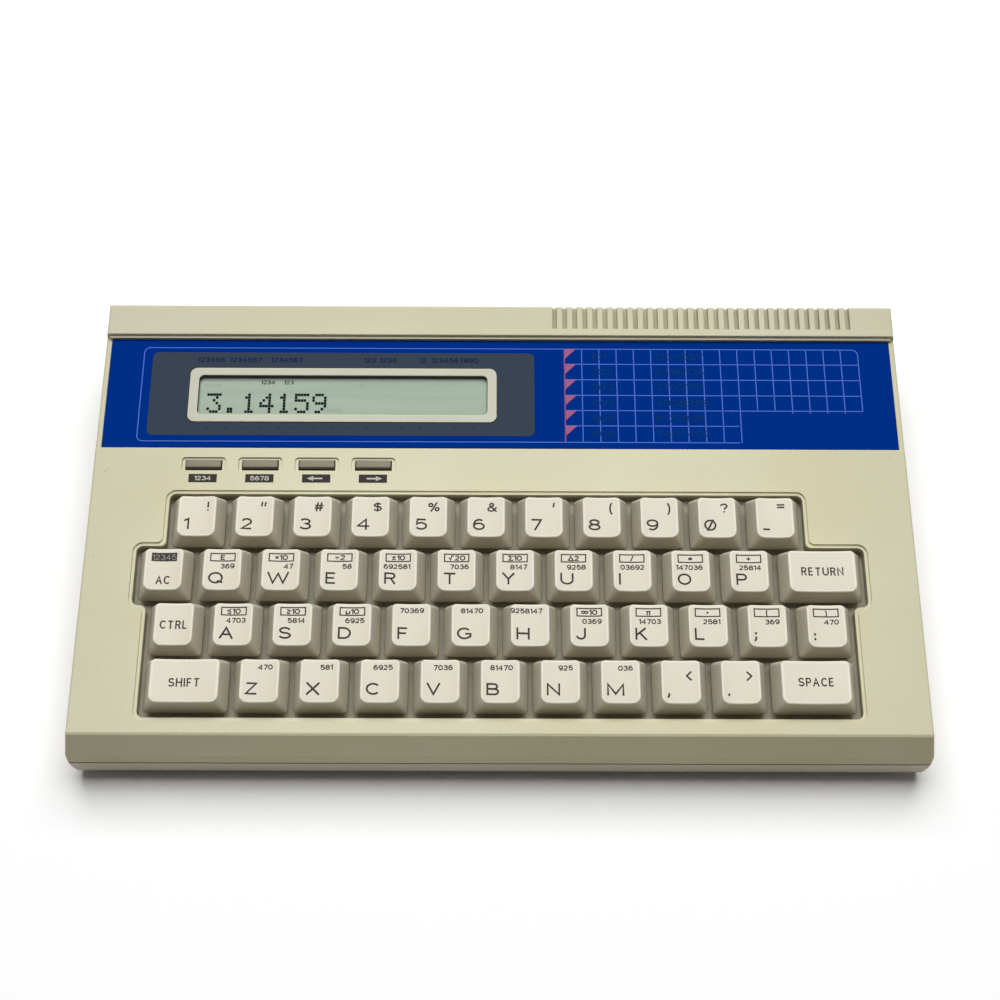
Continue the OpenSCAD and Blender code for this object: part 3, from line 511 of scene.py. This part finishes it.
def buildKeycap(units):
    look = keycap
    baseX = (units * look["pitch"] - look["gap"]) / 2
    baseY = (look["pitch"] - look["gap"]) / 2
    topX = baseX - look["sideLean"]
    topY = baseY - look["frontLean"]
    fillet = look["topRound"]
    bm = bmesh.new()
    # the edge attribute carries the painted highlight (positive) and the painted shade (negative)
    edge = bm.verts.layers.float.new("edge")
    rings = []

    def addRing(points, heightAt, shadeAndHighlight=0.0):
        # painted shade and painted highlight are both fainter round the corners
        rings.append([bm.verts.new((p.x * mm, p.y * mm, heightAt(p) * mm)) for p in points])
        for i, vertex in enumerate(rings[-1]):
            fromCorner = abs(i % (arcSteps + look["sideSpans"]) - arcSteps // 2)
            vertex[edge] = shadeAndHighlight * min(look["cornerShare"] + look["shareStep"] * fromCorner, 1.0)

    def onSide(share):
        # share 0 is the base, 1 the virtual sharp edge of the top
        halfX = baseX + (topX - baseX) * share
        halfY = baseY + (topY - baseY) * share
        corner = look["corner"]
        rear, front = (corner + (look[k] - corner) * share for k in ("rearCorner", "frontCorner"))
        return ringPoints(halfX, halfY, rear, front)

    rim = 1 - fillet / look["height"]
    shoulder = rim - look["belowRound"]
    footShade, halfShade, shoulderShade = look["paintedShade"]
    # painted shade on the skirt, darkest at the foot
    addRing(onSide(0), lambda p: 0, footShade)
    addRing(onSide(look["foot"]), lambda p: look["foot"] * look["height"], footShade)
    addRing(onSide(0.5), lambda p: 0.5 * dishHeight(p.x, units), halfShade)
    addRing(onSide(shoulder), lambda p: shoulder * dishHeight(p.x, units), shoulderShade)
    sideX = baseX + (topX - baseX) * rim
    sideY = baseY + (topY - baseY) * rim
    last = look["roundSteps"]
    # the painted highlight rises over the rounded top edge
    for step in range(last + 1):
        angle = math.radians(90 * step / last)
        inset = fillet * (1 - math.cos(angle))
        drop = fillet * (1 - math.sin(angle))
        points = ringPoints(sideX - inset, sideY - inset, look["rearCorner"] - inset,
                            look["frontCorner"] - inset)
        addRing(points, lambda p: dishHeight(p.x, units) - drop, max(step - 1, 0) / (last - 1))
    for share in look["dishRings"]:
        corner = look["dishCorner"] * share
        addRing(ringPoints((sideX - fillet) * share, (sideY - fillet) * share, corner, corner),
                lambda p: dishHeight(p.x, units))
    for lower, upper in zip(rings, rings[1:]):
        joinRings(bm, lower, upper)
    centre = bm.verts.new((0, 0, dishHeight(0, units) * mm))
    inmost = rings[-1]
    for i in range(len(inmost)):
        bm.faces.new((inmost[i], inmost[(i + 1) % len(inmost)], centre))

    # underside: a rim, the hollow and the square stem
    shell, corner = look["shell"], look["innerCorner"]
    hollow = look["height"] - look["dish"] - shell
    outer = rings[0]
    for halfX, halfY, height in ((baseX, baseY, 0), (topX, topY, hollow)):
        points = ringPoints(halfX - shell, halfY - shell, corner, corner)
        inner = [bm.verts.new((p.x * mm, p.y * mm, height * mm)) for p in points]
        joinRings(bm, inner, outer)
        outer = inner
    bm.faces.new(list(reversed(outer)))
    for face in bm.faces:
        face.smooth = True
    stemLow = look["height"] - look["stand"] - look["stemTip"]
    stemHeight = hollow + look["stemRoot"] - stemLow
    size = Matrix.Diagonal((look["stem"] * mm, look["stem"] * mm, stemHeight * mm, 1))
    middle = Matrix.Translation((0, 0, (stemLow + stemHeight / 2) * mm))
    bmesh.ops.create_cube(bm, size=1, matrix=middle @ size)
    return meshFrom(bm, f"keycap_{units}", [keyPlastic])


# legends: strokes of one width, as ribbons that are laid on the dished key tops

legend = {
    "lift": 0.03,
    "main": {"height": 4.05, "stretch": 1.0, "stroke": 0.62, "left": -4.4,
             "base": (-4.75, -4.95, -4.9, -4.6)},
    "shifted": {"height": 3.3, "stretch": 0.9, "stroke": 0.55, "right": 3.7, "base": 1.85},
    "word": {"height": 2.9, "stretch": 0.6, "stroke": 0.47, "space": 0.92},
    "small": {"height": 1.75, "stretch": 0.8, "stroke": 0.36, "right": 4.0, "base": 0.2, "topBase": 3.7},
    "box": {"width": 8.3, "height": 3.0, "middle": 4.2, "line": 0.4, "parts": 4},
    "boxed": {"height": 1.85, "stretch": 0.9, "stroke": 0.4},
    "onBlack": {"height": 1.9, "stretch": 0.85, "stroke": 0.22, "digits": "12345"},
    "raise": (0, 0.1, 0.3, 0),  # of the small print and the boxes, row by row
    "digitStep": 3,
}
mainLegends = {
    "1": "1!", "2": "2\"", "3": "3#", "4": "4$", "5": "5%", "6": "6&", "7": "7'", "8": "8(",
    "9": "9)", "0": "Ø?", "equals": "_=", "comma": ",<", "period": ".>",
    "semicolon": ";", "colon": ":",
}
wordLegends = {"return": ("RETURN", -1.5), "shift": ("SHIFT", -2.05), "space": ("SPACE", -1.35),
               "ctrl": ("CTRL", -1.65), "ac": ("AC", -5.2)}
boxLegends = {
    "q": "E", "w": "×10", "e": "÷2", "r": "±10", "t": "√20", "y": "Σ10", "u": "Δ2", "i": "/",
    "o": "*", "p": "+", "a": "≤10", "s": "≥10", "d": "µ10", "j": "∞10", "k": "π", "l": "•",
    "semicolon": "(", "colon": ")",
}
# the keys that have so many digits in small print
smallDigits = {2: "w e", 3: "q semicolon colon z x n m", 4: "t y u a s d j l c v", 5: "i p f g k b",
               6: "r o", 7: "h"}
# Each glyph is one or more strokes on a cap height of 1. A point is x,y and an arc is
# @centre x,centre y,radius x,radius y,first angle,last angle.
strokes = {
    "A": "0,0 .5,1 1,0|.17,.34 .83,.34",
    "B": "0,.52 0,1 .5,1 @.5,.76,.26,.24,90,-90 0,.52 0,0 .54,0 @.54,.26,.3,.26,-90,90",
    "C": "@.5,.5,.5,.5,42,318", "D": "0,0 0,1 .4,1 @.4,.5,.48,.5,90,-90 0,0",
    "E": ".68,1 0,1 0,0 .7,0|0,.52 .62,.52", "F": ".68,1 0,1 0,0|0,.5 .6,.5",
    "G": "@.5,.5,.5,.5,42,300 1,.2 1,.47 .58,.47", "H": "0,0 0,1|.9,0 .9,1|0,.52 .9,.52",
    "I": "0,0 0,1", "J": "@.32,.3,.32,.3,185,360 .64,1", "K": "0,0 0,1|.76,1 0,.36|.28,.6 .82,0",
    "L": "0,1 0,0 .68,0", "M": "0,0 0,1 .6,.08 1.2,1 1.2,0", "N": "0,0 0,1 .9,0 .9,1",
    "O": "@.48,.5,.48,.5,90,450", "P": "0,0 0,1 .46,1 @.46,.73,.27,.27,90,-90 0,.46",
    "Q": "@.52,.5,.52,.5,90,450|.64,.2 1.1,.02",
    "R": "0,0 0,1 .48,1 @.48,.75,.27,.25,90,-90 0,.5|.44,.5 .78,0",
    "S": "@.43,.75,.38,.25,15,270 @.43,.25,.43,.25,90,-160", "T": "0,1 .92,1|.46,1 .46,0",
    "U": "0,1 0,.38 @.46,.38,.46,.38,180,360 .92,1", "V": "0,1 .49,0 .98,1",
    "W": "0,1 .41,0 .82,.96 1.23,0 1.64,1", "X": "0,0 1,1|0,1 1,0",
    "Y": "0,1 .47,.48 .94,1|.47,.48 .47,0", "Z": ".02,1 .78,1 0,0 .84,0",
    "0": "@.42,.5,.42,.5,90,450", "Ø": "@.43,.5,.43,.5,90,450|.18,0 .7,1",
    "1": "0,.78 .34,1 .34,0", "2": "@.38,.72,.35,.28,165,-40 0,0 .77,0",
    "3": "@.42,.76,.36,.24,155,-90 @.42,.26,.42,.26,90,-155", "4": ".66,0 .66,1 0,.29 .92,.29",
    "5": ".8,1 .14,1 .07,.5 @.43,.33,.42,.33,145,-150",
    "6": "@.43,.31,.41,.31,180,540|@.46,.45,.44,.55,195,55",
    "7": "0,1 .77,1 .26,0", "8": "@.42,.76,.35,.24,90,450|@.42,.26,.42,.26,90,450",
    "9": "@.43,.69,.41,.31,0,360|@.4,.55,.44,.55,15,-125", "!": "0,1 0,.32|0,.1 0,0",
    '"': ".1,1 0,.5|.48,1 .38,.5", "#": ".22,0 .38,1|.62,0 .78,1|0,.34 .94,.34|.06,.66 1,.66",
    "$": "@.42,.73,.36,.2,20,270 @.42,.28,.4,.25,90,-160|.42,1.1 .42,-.1",
    "%": "@.2,.78,.2,.2,90,450|@.9,.22,.2,.2,90,450|.22,0 .88,1",
    "&": ".96,0 @.42,.8,.2,.2,215,-40 @.37,.25,.35,.25,120,330 .96,.5", "'": ".1,1 0,.5",
    "(": "@.62,.35,.5,.95,127,233", ")": "@-.22,.35,.5,.95,53,-53",
    "?": "@.36,.74,.34,.26,170,-60 .38,.32|.38,.1 .38,0", "=": "0,.6 .84,.6|0,.94 .84,.94",
    "_": "0,.08 .56,.08", "<": ".5,.5 0,-.04 .5,-.58", ">": "0,.5 .5,-.04 0,-.58",
    ",": ".06,.16 .06,-.06 -.04,-.3", ".": ".03,.14 .03,-.12",
    ";": ".06,.7 .06,.46|.06,.26 .06,.04 -.04,-.2", ":": ".03,.6 .03,.36|.03,.14 .03,-.1",
    "×": "0,.2 .6,.8|0,.8 .6,.2", "÷": "0,.5 .8,.5|.4,.92 .4,.8|.4,.2 .4,.08",
    "±": ".36,.3 .36,.96|0,.63 .72,.63|0,.06 .72,.06", "√": "0,.45 .16,.5 .36,0 .62,1 1,1",
    "Σ": ".74,.84 .74,1 0,1 .42,.5 0,0 .76,0 .76,.18", "Δ": "0,0 .46,.98 .92,0 0,0", "/": "0,0 .5,1",
    "*": ".36,.9 .36,.1|0,.7 .72,.3|0,.3 .72,.7", "+": ".4,.1 .4,.9|0,.5 .8,.5",
    "≤": ".7,.98 0,.64 .7,.3|0,.02 .7,.02", "≥": "0,.98 .7,.64 0,.3|0,.02 .7,.02",
    "µ": "0,-.25 0,.7|0,.25 @.32,.25,.32,.25,180,360 .64,.7|.64,.3 .64,0",
    "∞": "@.3,.5,.3,.26,0,360|@.9,.5,.3,.26,180,540", "π": "0,.74 .9,.74|.26,.74 .22,0|.68,.74 .68,0",
    "•": "@.12,.5,.1,.1,0,360",
}
pen = {
    "arcSpan": 20, "leastSpans": 4,  # degrees of an arc's spans, and the fewest
    "touching": 0.01,  # points closer than this are one
    "letterSpace": 0.16, "strokeSpace": 0.4,  # between letters, by their height and stroke
    "steep": 0.5,  # an upright stroke rises more than this for each step across
    "mitre": 0.5,  # keeps a sharp corner from reaching out further than twice the stroke
}


def strokePaths(character):
    paths = []
    for part in strokes[character].split("|"):
        points = []
        for item in part.split():
            if item[0] != "@":
                points.append(tuple(float(v) for v in item.split(",")))
                continue
            x, y, radiusX, radiusY, first, last = (float(v) for v in item[1:].split(","))
            spans = max(pen["leastSpans"], round(abs(last - first) / pen["arcSpan"]))
            for i in range(spans + 1):
                angle = math.radians(first + (last - first) * i / spans)
                point = (x + radiusX * math.cos(angle), y + radiusY * math.sin(angle))
                if not points or math.dist(points[-1], point) > pen["touching"]:
                    points.append(point)
        paths.append(points)
    return paths


class Print:
    # gathers strokes and bars in millimetres, then lays them on a surface as one mesh
    def __init__(self):
        self.bm = bmesh.new()

    def glyphs(self, text, look, x, y, align="left", ink=0):
        height, width = look["height"], look["stroke"]
        broad = height * look["stretch"]
        letters = [strokePaths(character) for character in text]
        spans = [max(px for path in letter for px, _ in path) * broad for letter in letters]
        space = look.get("space", pen["letterSpace"] * height + pen["strokeSpace"] * width)
        total = sum(spans) + space * (len(text) - 1) + width
        place = {"left": x, "right": x - total, "middle": x - total / 2}[align] + width / 2
        for letter, span in zip(letters, spans):
            for path in letter:
                points = [(place + px * broad, y + width / 2 + py * (height - width)) for px, py in path]
                ring = len(points) > 3 and math.dist(points[0], points[-1]) < pen["touching"]
                for end, beside in ((0, 1), (-1, -2)):
                    # upright strokes reach the full height of the letter
                    (px, py), (qx, qy) = path[end], path[beside]
                    if not ring and py in (0, 1) and abs(py - qy) > pen["steep"] * abs(px - qx):
                        points[end] = (points[end][0], points[end][1] + math.copysign(width / 2, py - 0.5))
                self.line(points[:-1] if ring else points, width, ink, ring)
            place += span + space

    def shape(self, points, ink=0):
        corners = [self.bm.verts.new((x, y, 0)) for x, y in points]
        self.bm.faces.new(corners).material_index = ink

    def bar(self, x0, y0, x1, y1, ink=0, parts=1):
        for i in range(parts):
            a = x0 + (x1 - x0) * i / parts
            b = x0 + (x1 - x0) * (i + 1) / parts
            self.shape([(a, y0), (b, y0), (b, y1), (a, y1)], ink)

    def block(self, x, y, width, height, ink=0, parts=1):
        # a bar about its middle
        self.bar(x - width / 2, y - height / 2, x + width / 2, y + height / 2, ink, parts)

    def band(self, outer, inner):
        for i in range(len(outer)):
            j = (i + 1) % len(outer)
            self.shape([outer[i], outer[j], inner[j], inner[i]])

    def line(self, points, width, ink=0, closed=False):
        # a mitred ribbon along the points
        count = len(points)
        sides = []
        for i, point in enumerate(points):
            here = Vector(point)
            before = Vector(points[i - 1]) if i or closed else None
            after = Vector(points[(i + 1) % count]) if i < count - 1 or closed else None
            into = (here - before).normalized() if before is not None else (after - here).normalized()
            out = (after - here).normalized() if after is not None else into
            normal = Vector((-(into + out).y, (into + out).x)).normalized()
            reach = width / 2 / max(normal.dot(Vector((-into.y, into.x))), pen["mitre"])
            sides.append([self.bm.verts.new((*(here + s * reach * normal), 0)) for s in (-1, 1)])
        pairs = list(zip(sides, sides[1:])) + ([(sides[-1], sides[0])] if closed else [])
        for (a, b), (c, d) in pairs:
            self.bm.faces.new((a, c, d, b)).material_index = ink

    def finish(self, name, heightAt, inks):
        for vertex in self.bm.verts:
            vertex.co.z = heightAt(vertex.co.x, vertex.co.y)
            vertex.co *= mm
        self.bm.normal_update()
        for face in self.bm.faces:
            if face.normal.z < 0:
                face.normal_flip()
        return meshFrom(self.bm, name, inks)


def boxOutline(printing, look):
    line, halfW, halfH = look["line"], look["width"] / 2, look["height"] / 2
    low, high = look["middle"] - halfH, look["middle"] + halfH
    printing.bar(-halfW, low, halfW, low + line, parts=look["parts"])
    printing.bar(-halfW, high - line, halfW, high, parts=look["parts"])
    printing.bar(-halfW, low + line, -halfW + line, high - line)
    printing.bar(halfW - line, low + line, halfW, high - line)


def legendMesh(name, row, number, units):
    printing = Print()
    main, shifted, small, boxed = (legend[k] for k in ("main", "shifted", "small", "boxed"))
    rise = legend["raise"][row]
    box = {**legend["box"], "middle": legend["box"]["middle"] + rise}
    if name in wordLegends:
        word, base = wordLegends[name]
        printing.glyphs(word, legend["word"], 0, base, "middle")
        if name == "ac":
            printing.block(0, box["middle"], box["width"], box["height"], parts=box["parts"])
    else:
        pair = mainLegends.get(name, name.upper())
        printing.glyphs(pair[0], main, main["left"], main["base"][row])
        if len(pair) > 1:
            printing.glyphs(pair[1], shifted, shifted["right"], shifted["base"], "right")
        if name in boxLegends:
            boxOutline(printing, box)
            printing.glyphs(boxLegends[name], boxed, 0, box["middle"] - boxed["height"] / 2, "middle")
        count = next((n for n, names in smallDigits.items() if name in names.split()), 0)
        if count:
            base = (small["base"] if name in boxLegends else small["topBase"]) + rise
            digits = [(row + number + legend["digitStep"] * i) % 10 for i in range(count)]
            printing.glyphs("".join(map(str, digits)), small, small["right"], base, "right")
    return printing.finish("legend_" + name, lambda x, y: dishHeight(x, units) + legend["lift"], [blackInk])


def barDigits():
    # pale digits on the black bar of AC
    look = legend["onBlack"]
    printing = Print()
    printing.glyphs(look["digits"], look, 0, legend["box"]["middle"] - look["height"] / 2, "middle")
    return printing.finish("digits_ac", lambda x, y: dishHeight(x, 1) + 2 * legend["lift"], [labelPaint])


keyMeshes = {1: buildKeycap(1), wideUnits: buildKeycap(wideUnits)}
for keyName, (row, number, place, units) in keyPlaces().items():
    body = "key_" + keyName
    spot = (place * keycap["pitch"] * mm, (keycap["numberRow"] - row * keycap["pitch"]) * mm,
            (keycap["stand"] - keycap["height"]) * mm)
    cap = placeOnDeck("cap_" + keyName, keyMeshes[units], spot, body)
    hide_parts(body)
    placeOnDeck("legend_" + keyName, legendMesh(keyName, row, number, units), spot, body)
    if keyName == "ac":
        placeOnDeck("digits_ac", barDigits(), spot, body)
print("keys dressed:", len(keyPlaces()))


def flatAt(level):
    return lambda x, y: level


def layOnCase(name, printing, surface, inks):
    placeOnDeck(name, printing.finish(name, surface, inks), (0, 0, 0), "case")


# function buttons and their labels

button = {
    "first": -5.25, "row": keycap["numberRow"] + 21.2, "length": 11.8, "width": 3.2, "stand": 0.4,
    "frontRun": 0.5, "frontDrop": 1.5, "round": 0.3, "roundSegments": 4, "depth": 3.4, "shadeDepth": 0.5,
    "label": {"width": 9.5, "height": 3.1, "row": 89.35, "lift": 0.02},
    "mark": {"height": 1.6, "stretch": 0.95, "stroke": 0.27},
    "arrow": {"length": 4.2, "line": 0.5, "tip": 3.1, "neck": 1.0, "head": 1.7},
}
buttonMarks = {"mode": "1234", "program": "5678", "left": -1, "right": 1}  # digits, or an arrow's way


def buildButton():
    look = button
    back = look["width"] / 2
    profile = [(-back, -look["depth"]), (-back, look["stand"] - look["frontDrop"]),
               (-back + look["frontRun"], look["stand"]), (back, look["stand"]), (back, -look["depth"])]
    bm = bmesh.new()
    half = look["length"] / 2
    left, right = ([bm.verts.new((x * mm, y * mm, z * mm)) for y, z in profile] for x in (-half, half))
    bm.faces.new(left)
    bm.faces.new(list(reversed(right)))
    joinRings(bm, right, left)
    bmesh.ops.recalc_face_normals(bm, faces=bm.faces)
    bmesh.ops.bevel(bm, geom=list(bm.edges), offset=look["round"] * mm, segments=look["roundSegments"],
                    profile=0.5, affect="EDGES")
    # painted shade: darker the further a point lies below the top, down the front into the slot
    edge = bm.verts.layers.float.new("edge")
    for vertex in bm.verts:
        vertex[edge] = max(-1.0, (vertex.co.z / mm - look["stand"]) / look["shadeDepth"])
    for face in bm.faces:
        face.smooth = True
    return meshFrom(bm, "button", [buttonPlastic])


def dressButtons():
    mesh = buildButton()
    labels, marks = Print(), Print()
    label, look, arrow = button["label"], button["mark"], button["arrow"]
    for i, (name, mark) in enumerate(buttonMarks.items()):
        x, y = (button["first"] + i) * keycap["pitch"], label["row"]
        bar = placeOnDeck("bar_" + name, mesh, (x * mm, button["row"] * mm, 0), "button_" + name)
        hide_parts("button_" + name)
        labels.block(x, y, label["width"], label["height"])
        if mark in (-1, 1):
            marks.block(x, y, arrow["length"], arrow["line"])
            tip, neck, half = x + mark * arrow["tip"], x + mark * arrow["neck"], arrow["head"] / 2
            marks.shape([(tip, y), (neck, y + half), (neck, y - half)])
        else:
            marks.glyphs(mark, look, x, y - look["height"] / 2, "middle")
    layOnCase("button_labels", labels, flatAt(label["lift"]), [labelInk])
    layOnCase("button_marks", marks, flatAt(2 * label["lift"]), [creamInk])


dressButtons()
print("buttons dressed")


# printed panel

panel = {
    "level": -0.65, "lift": 0.02, "line": 0.33,
    "outline": {"left": -123.6, "top": 139.9, "bottom": 103.6, "corner": 2.0},
    "smoked": {"left": -120.5, "right": 11.6, "bottom": 105.9, "top": 138.1, "corner": 2.0},
    "hole": {"length": 106.0, "width": 21.2, "corner": 2.6},
    "grid": {"left": 22.1, "pitch": 6.0, "columns": 17,
             "rows": [139.9, 133.9, 127.8, 121.7, 115.8, 109.9, 103.6],
             "longRows": 4, "shortColumns": 10, "shortRight": 81.4, "tailsAfter": 12, "tail": 0.9},
    "triangle": 4.0,
    "numbers": {"height": 2.5, "stretch": 1.0, "stroke": 0.42, "drop": 4.2,
                "columns": [(9, 101), (31, 1234567)]},  # place, and what each row counts by
    "captions": {"height": 1.9, "stretch": 0.8, "stroke": 0.38, "row": 134.2,
                 "digits": [(-105.0, "123456"), (-93.9, "1234567"), (-79.7, "1234567"), (-47.5, "123"),
                            (-42.0, "1234"), (-28.2, "12"), (-24.1, "1234567890")]},
    "dots": {"first": -99.9, "pitch": 6.03, "count": 16, "row": 108.8, "size": 0.45},
}
windowFrame = {"x": -54.2, "y": 121.4, "length": 105.6, "width": 20.8, "corner": 2.5, "stand": 0.3,
               "inset": 0.35}
# a dark sheet that paints the shade on the window's wall; its outline is also the inner edge of the frame
# top
windowShadeSheet = {"length": 99.4, "width": 15.3, "corner": 1.8, "gap": 0.02, "thick": 0.12,
         "bottom": -2.25, "top": -0.75}


def roundedOutline(x0, y0, x1, y1, radius):
    left, bottom, right, top = x0 + radius, y0 + radius, x1 - radius, y1 - radius
    return (arcPoints(right, top, radius, 0) + arcPoints(left, top, radius, 90)
            + arcPoints(left, bottom, radius, 180) + arcPoints(right, bottom, radius, 270))


def windowOutline(size, grow=0.0):
    # an outline about the middle of the window, moved out by grow
    x, y = windowFrame["x"], windowFrame["y"]
    halfX, halfY = size["length"] / 2 + grow, size["width"] / 2 + grow
    return roundedOutline(x - halfX, y - halfY, x + halfX, y + halfY, size["corner"] + grow)


def panelLayer(layer):
    return flatAt(panel["level"] + layer * panel["lift"])


def printFilm():
    edges = [panel["smoked"][k] for k in ("left", "bottom", "right", "top", "corner")]
    film = Print()
    film.band(roundedOutline(*edges), windowOutline(panel["hole"]))
    layOnCase("smoked_film", film, panelLayer(1), [greyInk])


def printLines():
    lines = Print()
    frameLine, grid, width = panel["outline"], panel["grid"], panel["line"]
    rows, step = grid["rows"], grid["longRows"]
    corner = frameLine["corner"]
    left, top, bottom = frameLine["left"] + corner, frameLine["top"] - corner, frameLine["bottom"] + corner
    right = grid["left"] + grid["pitch"] * grid["columns"]
    lines.line([(right, rows[step])] + arcPoints(right - corner, top, corner, 0)
               + arcPoints(left, top, corner, 90) + arcPoints(left, bottom, corner, 180)
               + [(grid["shortRight"], frameLine["bottom"])], width)
    for row, y in enumerate(rows[1:-1], 1):
        end = right if row <= step else grid["shortRight"]
        lines.bar(grid["left"], y - width / 2, end, y + width / 2)
    for column in range(1, grid["columns"]):
        x = grid["left"] + column * grid["pitch"]
        low = rows[-1] if column <= grid["shortColumns"] else rows[step]
        if column > grid["tailsAfter"]:
            low -= grid["tail"]
        lines.bar(x - width / 2, low, x + width / 2, rows[0])
    layOnCase("panel_lines", lines, panelLayer(2), [lilacInk])


def printWedges():
    wedges = Print()
    left, rows, side, width = panel["grid"]["left"], panel["grid"]["rows"], panel["triangle"], panel["line"]
    wedges.bar(left - width / 2, rows[-1], left + width / 2, rows[0])
    for y in rows[:-1]:
        wedges.shape([(left, y - side), (left + side, y), (left, y)])
    layOnCase("panel_wedges", wedges, panelLayer(3), [pinkInk])


def printNumbers():
    # faint numbers in the grid, captions over the window and a row of dots under it
    faint = Print()
    grid, numbers, captions, dots = (panel[k] for k in ("grid", "numbers", "captions", "dots"))
    for row, y in enumerate(grid["rows"][:-1], 1):
        for x, number in numbers["columns"]:
            faint.glyphs(str(number * row), numbers, grid["left"] + x, y - numbers["drop"])
    for x, digits in captions["digits"]:
        faint.glyphs(digits, captions, x, captions["row"], ink=1)
    for i in range(dots["count"]):
        faint.block(dots["first"] + i * dots["pitch"], dots["row"], dots["size"], dots["size"], 1)
    layOnCase("panel_numbers", faint, panelLayer(2.5), [hiddenInk, captionInk])


def addFrameTop():
    # the frame round the window is a separate, cooler moulding: its top face
    top = Print()
    inset = windowFrame["inset"]
    top.band(windowOutline(windowFrame, -inset), windowOutline(windowShadeSheet, inset))
    level = panel["level"] + windowFrame["stand"] + panel["lift"]
    layOnCase("frame_top", top, flatAt(level), [framePlastic])


rust = {
    "spots": [(-134.9, 103.6, 0.5), (-134.6, 102.5, 0.4), (-135.1, 104.9, 0.3), (-132.9, 91.9, 0.28),
              (-131.9, 92.6, 0.2), (-133.8, 61.2, 0.18), (131.5, 97.8, 0.2), (126.2, 88.4, 0.16)],
    "points": 8, "across": (0.7, 1.0), "along": 0.8, "lift": 0.02, "railFrom": 100.6, "railDrop": 0.7,
}


def addSpots():
    # a few rust-brown spots near the ends, from storage; those beside the panel lie on its lower rail
    spots = Print()
    for x, y, size in rust["spots"]:
        angles = [math.radians(360 * k / rust["points"]) for k in range(rust["points"])]
        spots.shape([(x + size * math.cos(angle) * rust["across"][k % 2],
                      y + size * math.sin(angle) * rust["along"]) for k, angle in enumerate(angles)])
    layOnCase("rust_spots", spots,
              lambda x, y: rust["lift"] - (rust["railDrop"] if y >= rust["railFrom"] else 0), [rustStain])


groove = {
    "first": 18, "pitch": 3.53, "count": 30, "width": 1.6, "inset": 0.05, "level": -0.37,
    "front": 146.85, "rear": 155.9,
}


def addGrooveFloors():
    # painted shade darkens the floors of the header's grooves
    floors = Print()
    front, inset = groove["front"] + groove["inset"], groove["inset"]
    for i in range(groove["count"]):
        x = groove["first"] + i * groove["pitch"]
        floors.bar(x + inset, front, x + groove["width"] - inset, groove["rear"])
    layOnCase("groove_floors", floors, flatAt(groove["level"]), [grooveShadePlastic])


def addWindowShadeSheet():
    # a thin dark sheet on the wall of the window down to the lens, as painted shade
    bm = bmesh.new()
    outside, inside = windowShadeSheet["gap"], windowShadeSheet["gap"] + windowShadeSheet["thick"]
    rows = []
    for inset, level in ((outside, windowShadeSheet["top"]), (outside, windowShadeSheet["bottom"]), (inside, windowShadeSheet["bottom"]),
                         (inside, windowShadeSheet["top"])):
        rows.append([bm.verts.new((x * mm, y * mm, level * mm)) for x, y in windowOutline(windowShadeSheet, -inset)])
    for lower, upper in zip(rows, rows[1:] + rows[:1]):
        joinRings(bm, lower, upper)
    bmesh.ops.recalc_face_normals(bm, faces=bm.faces)
    placeOnDeck("window_shade_sheet", meshFrom(bm, "window_shade_sheet", [darkPlastic]), (0, 0, 0), "case")


printFilm()
printLines()
printWedges()
printNumbers()
addFrameTop()
addSpots()
addGrooveFloors()
addWindowShadeSheet()
print("panel printed")


# display: five by seven dot characters behind the window

display = {
    "level": -2.2, "lift": 0.02, "first": -101.0, "pitch": 6.03, "base": 115.2,
    "dotPitch": 1.0, "dot": 0.92, "tall": 1.1,  # dots and rows are taller than wide by this
    "text": "3.14159",
    "flag": {"height": 1.5, "stretch": 0.85, "stroke": 0.27, "row": 126.4},
    "flags": [(-82.8, "1234"), (-74.9, "123")],
    "ghost": {"height": 1.4, "stretch": 0.8, "stroke": 0.25},
    "unlit": [(-102.2, 125.1, "12345"), (-48.9, 125.3, "12"), (-60.4, 115.6, "12345")],
}
# seven rows from the top, each five dots as bits
dotRows = {
    "1": "4 c 4 4 4 4 e", "3": "1f 2 4 2 1 11 e", "4": "2 6 a 12 1f 2 2", "5": "1f 10 1e 1 1 11 e",
    "9": "e 11 11 f 1 2 c", ".": "0 0 0 0 0 c c",
}


def printDisplay():
    look = display
    dots = Print()
    for i, character in enumerate(look["text"]):
        for row, bits in enumerate(reversed(dotRows[character].split())):
            for column, bit in enumerate(f"{int(bits, 16):05b}"):
                if bit == "1":
                    x = look["first"] + i * look["pitch"] + column * look["dotPitch"]
                    y = look["base"] + row * look["dotPitch"] * look["tall"]
                    dots.bar(x, y, x + look["dot"], y + look["dot"] * look["tall"])
    for x, digits in look["flags"]:
        dots.glyphs(digits, look["flag"], x, look["flag"]["row"])
    for x, y, digits in look["unlit"]:
        dots.glyphs(digits, look["ghost"], x, y, ink=1)
    layOnCase("display_dots", dots, flatAt(look["level"] + look["lift"]), [dotInk, ghostInk])


printDisplay()
print("display written")
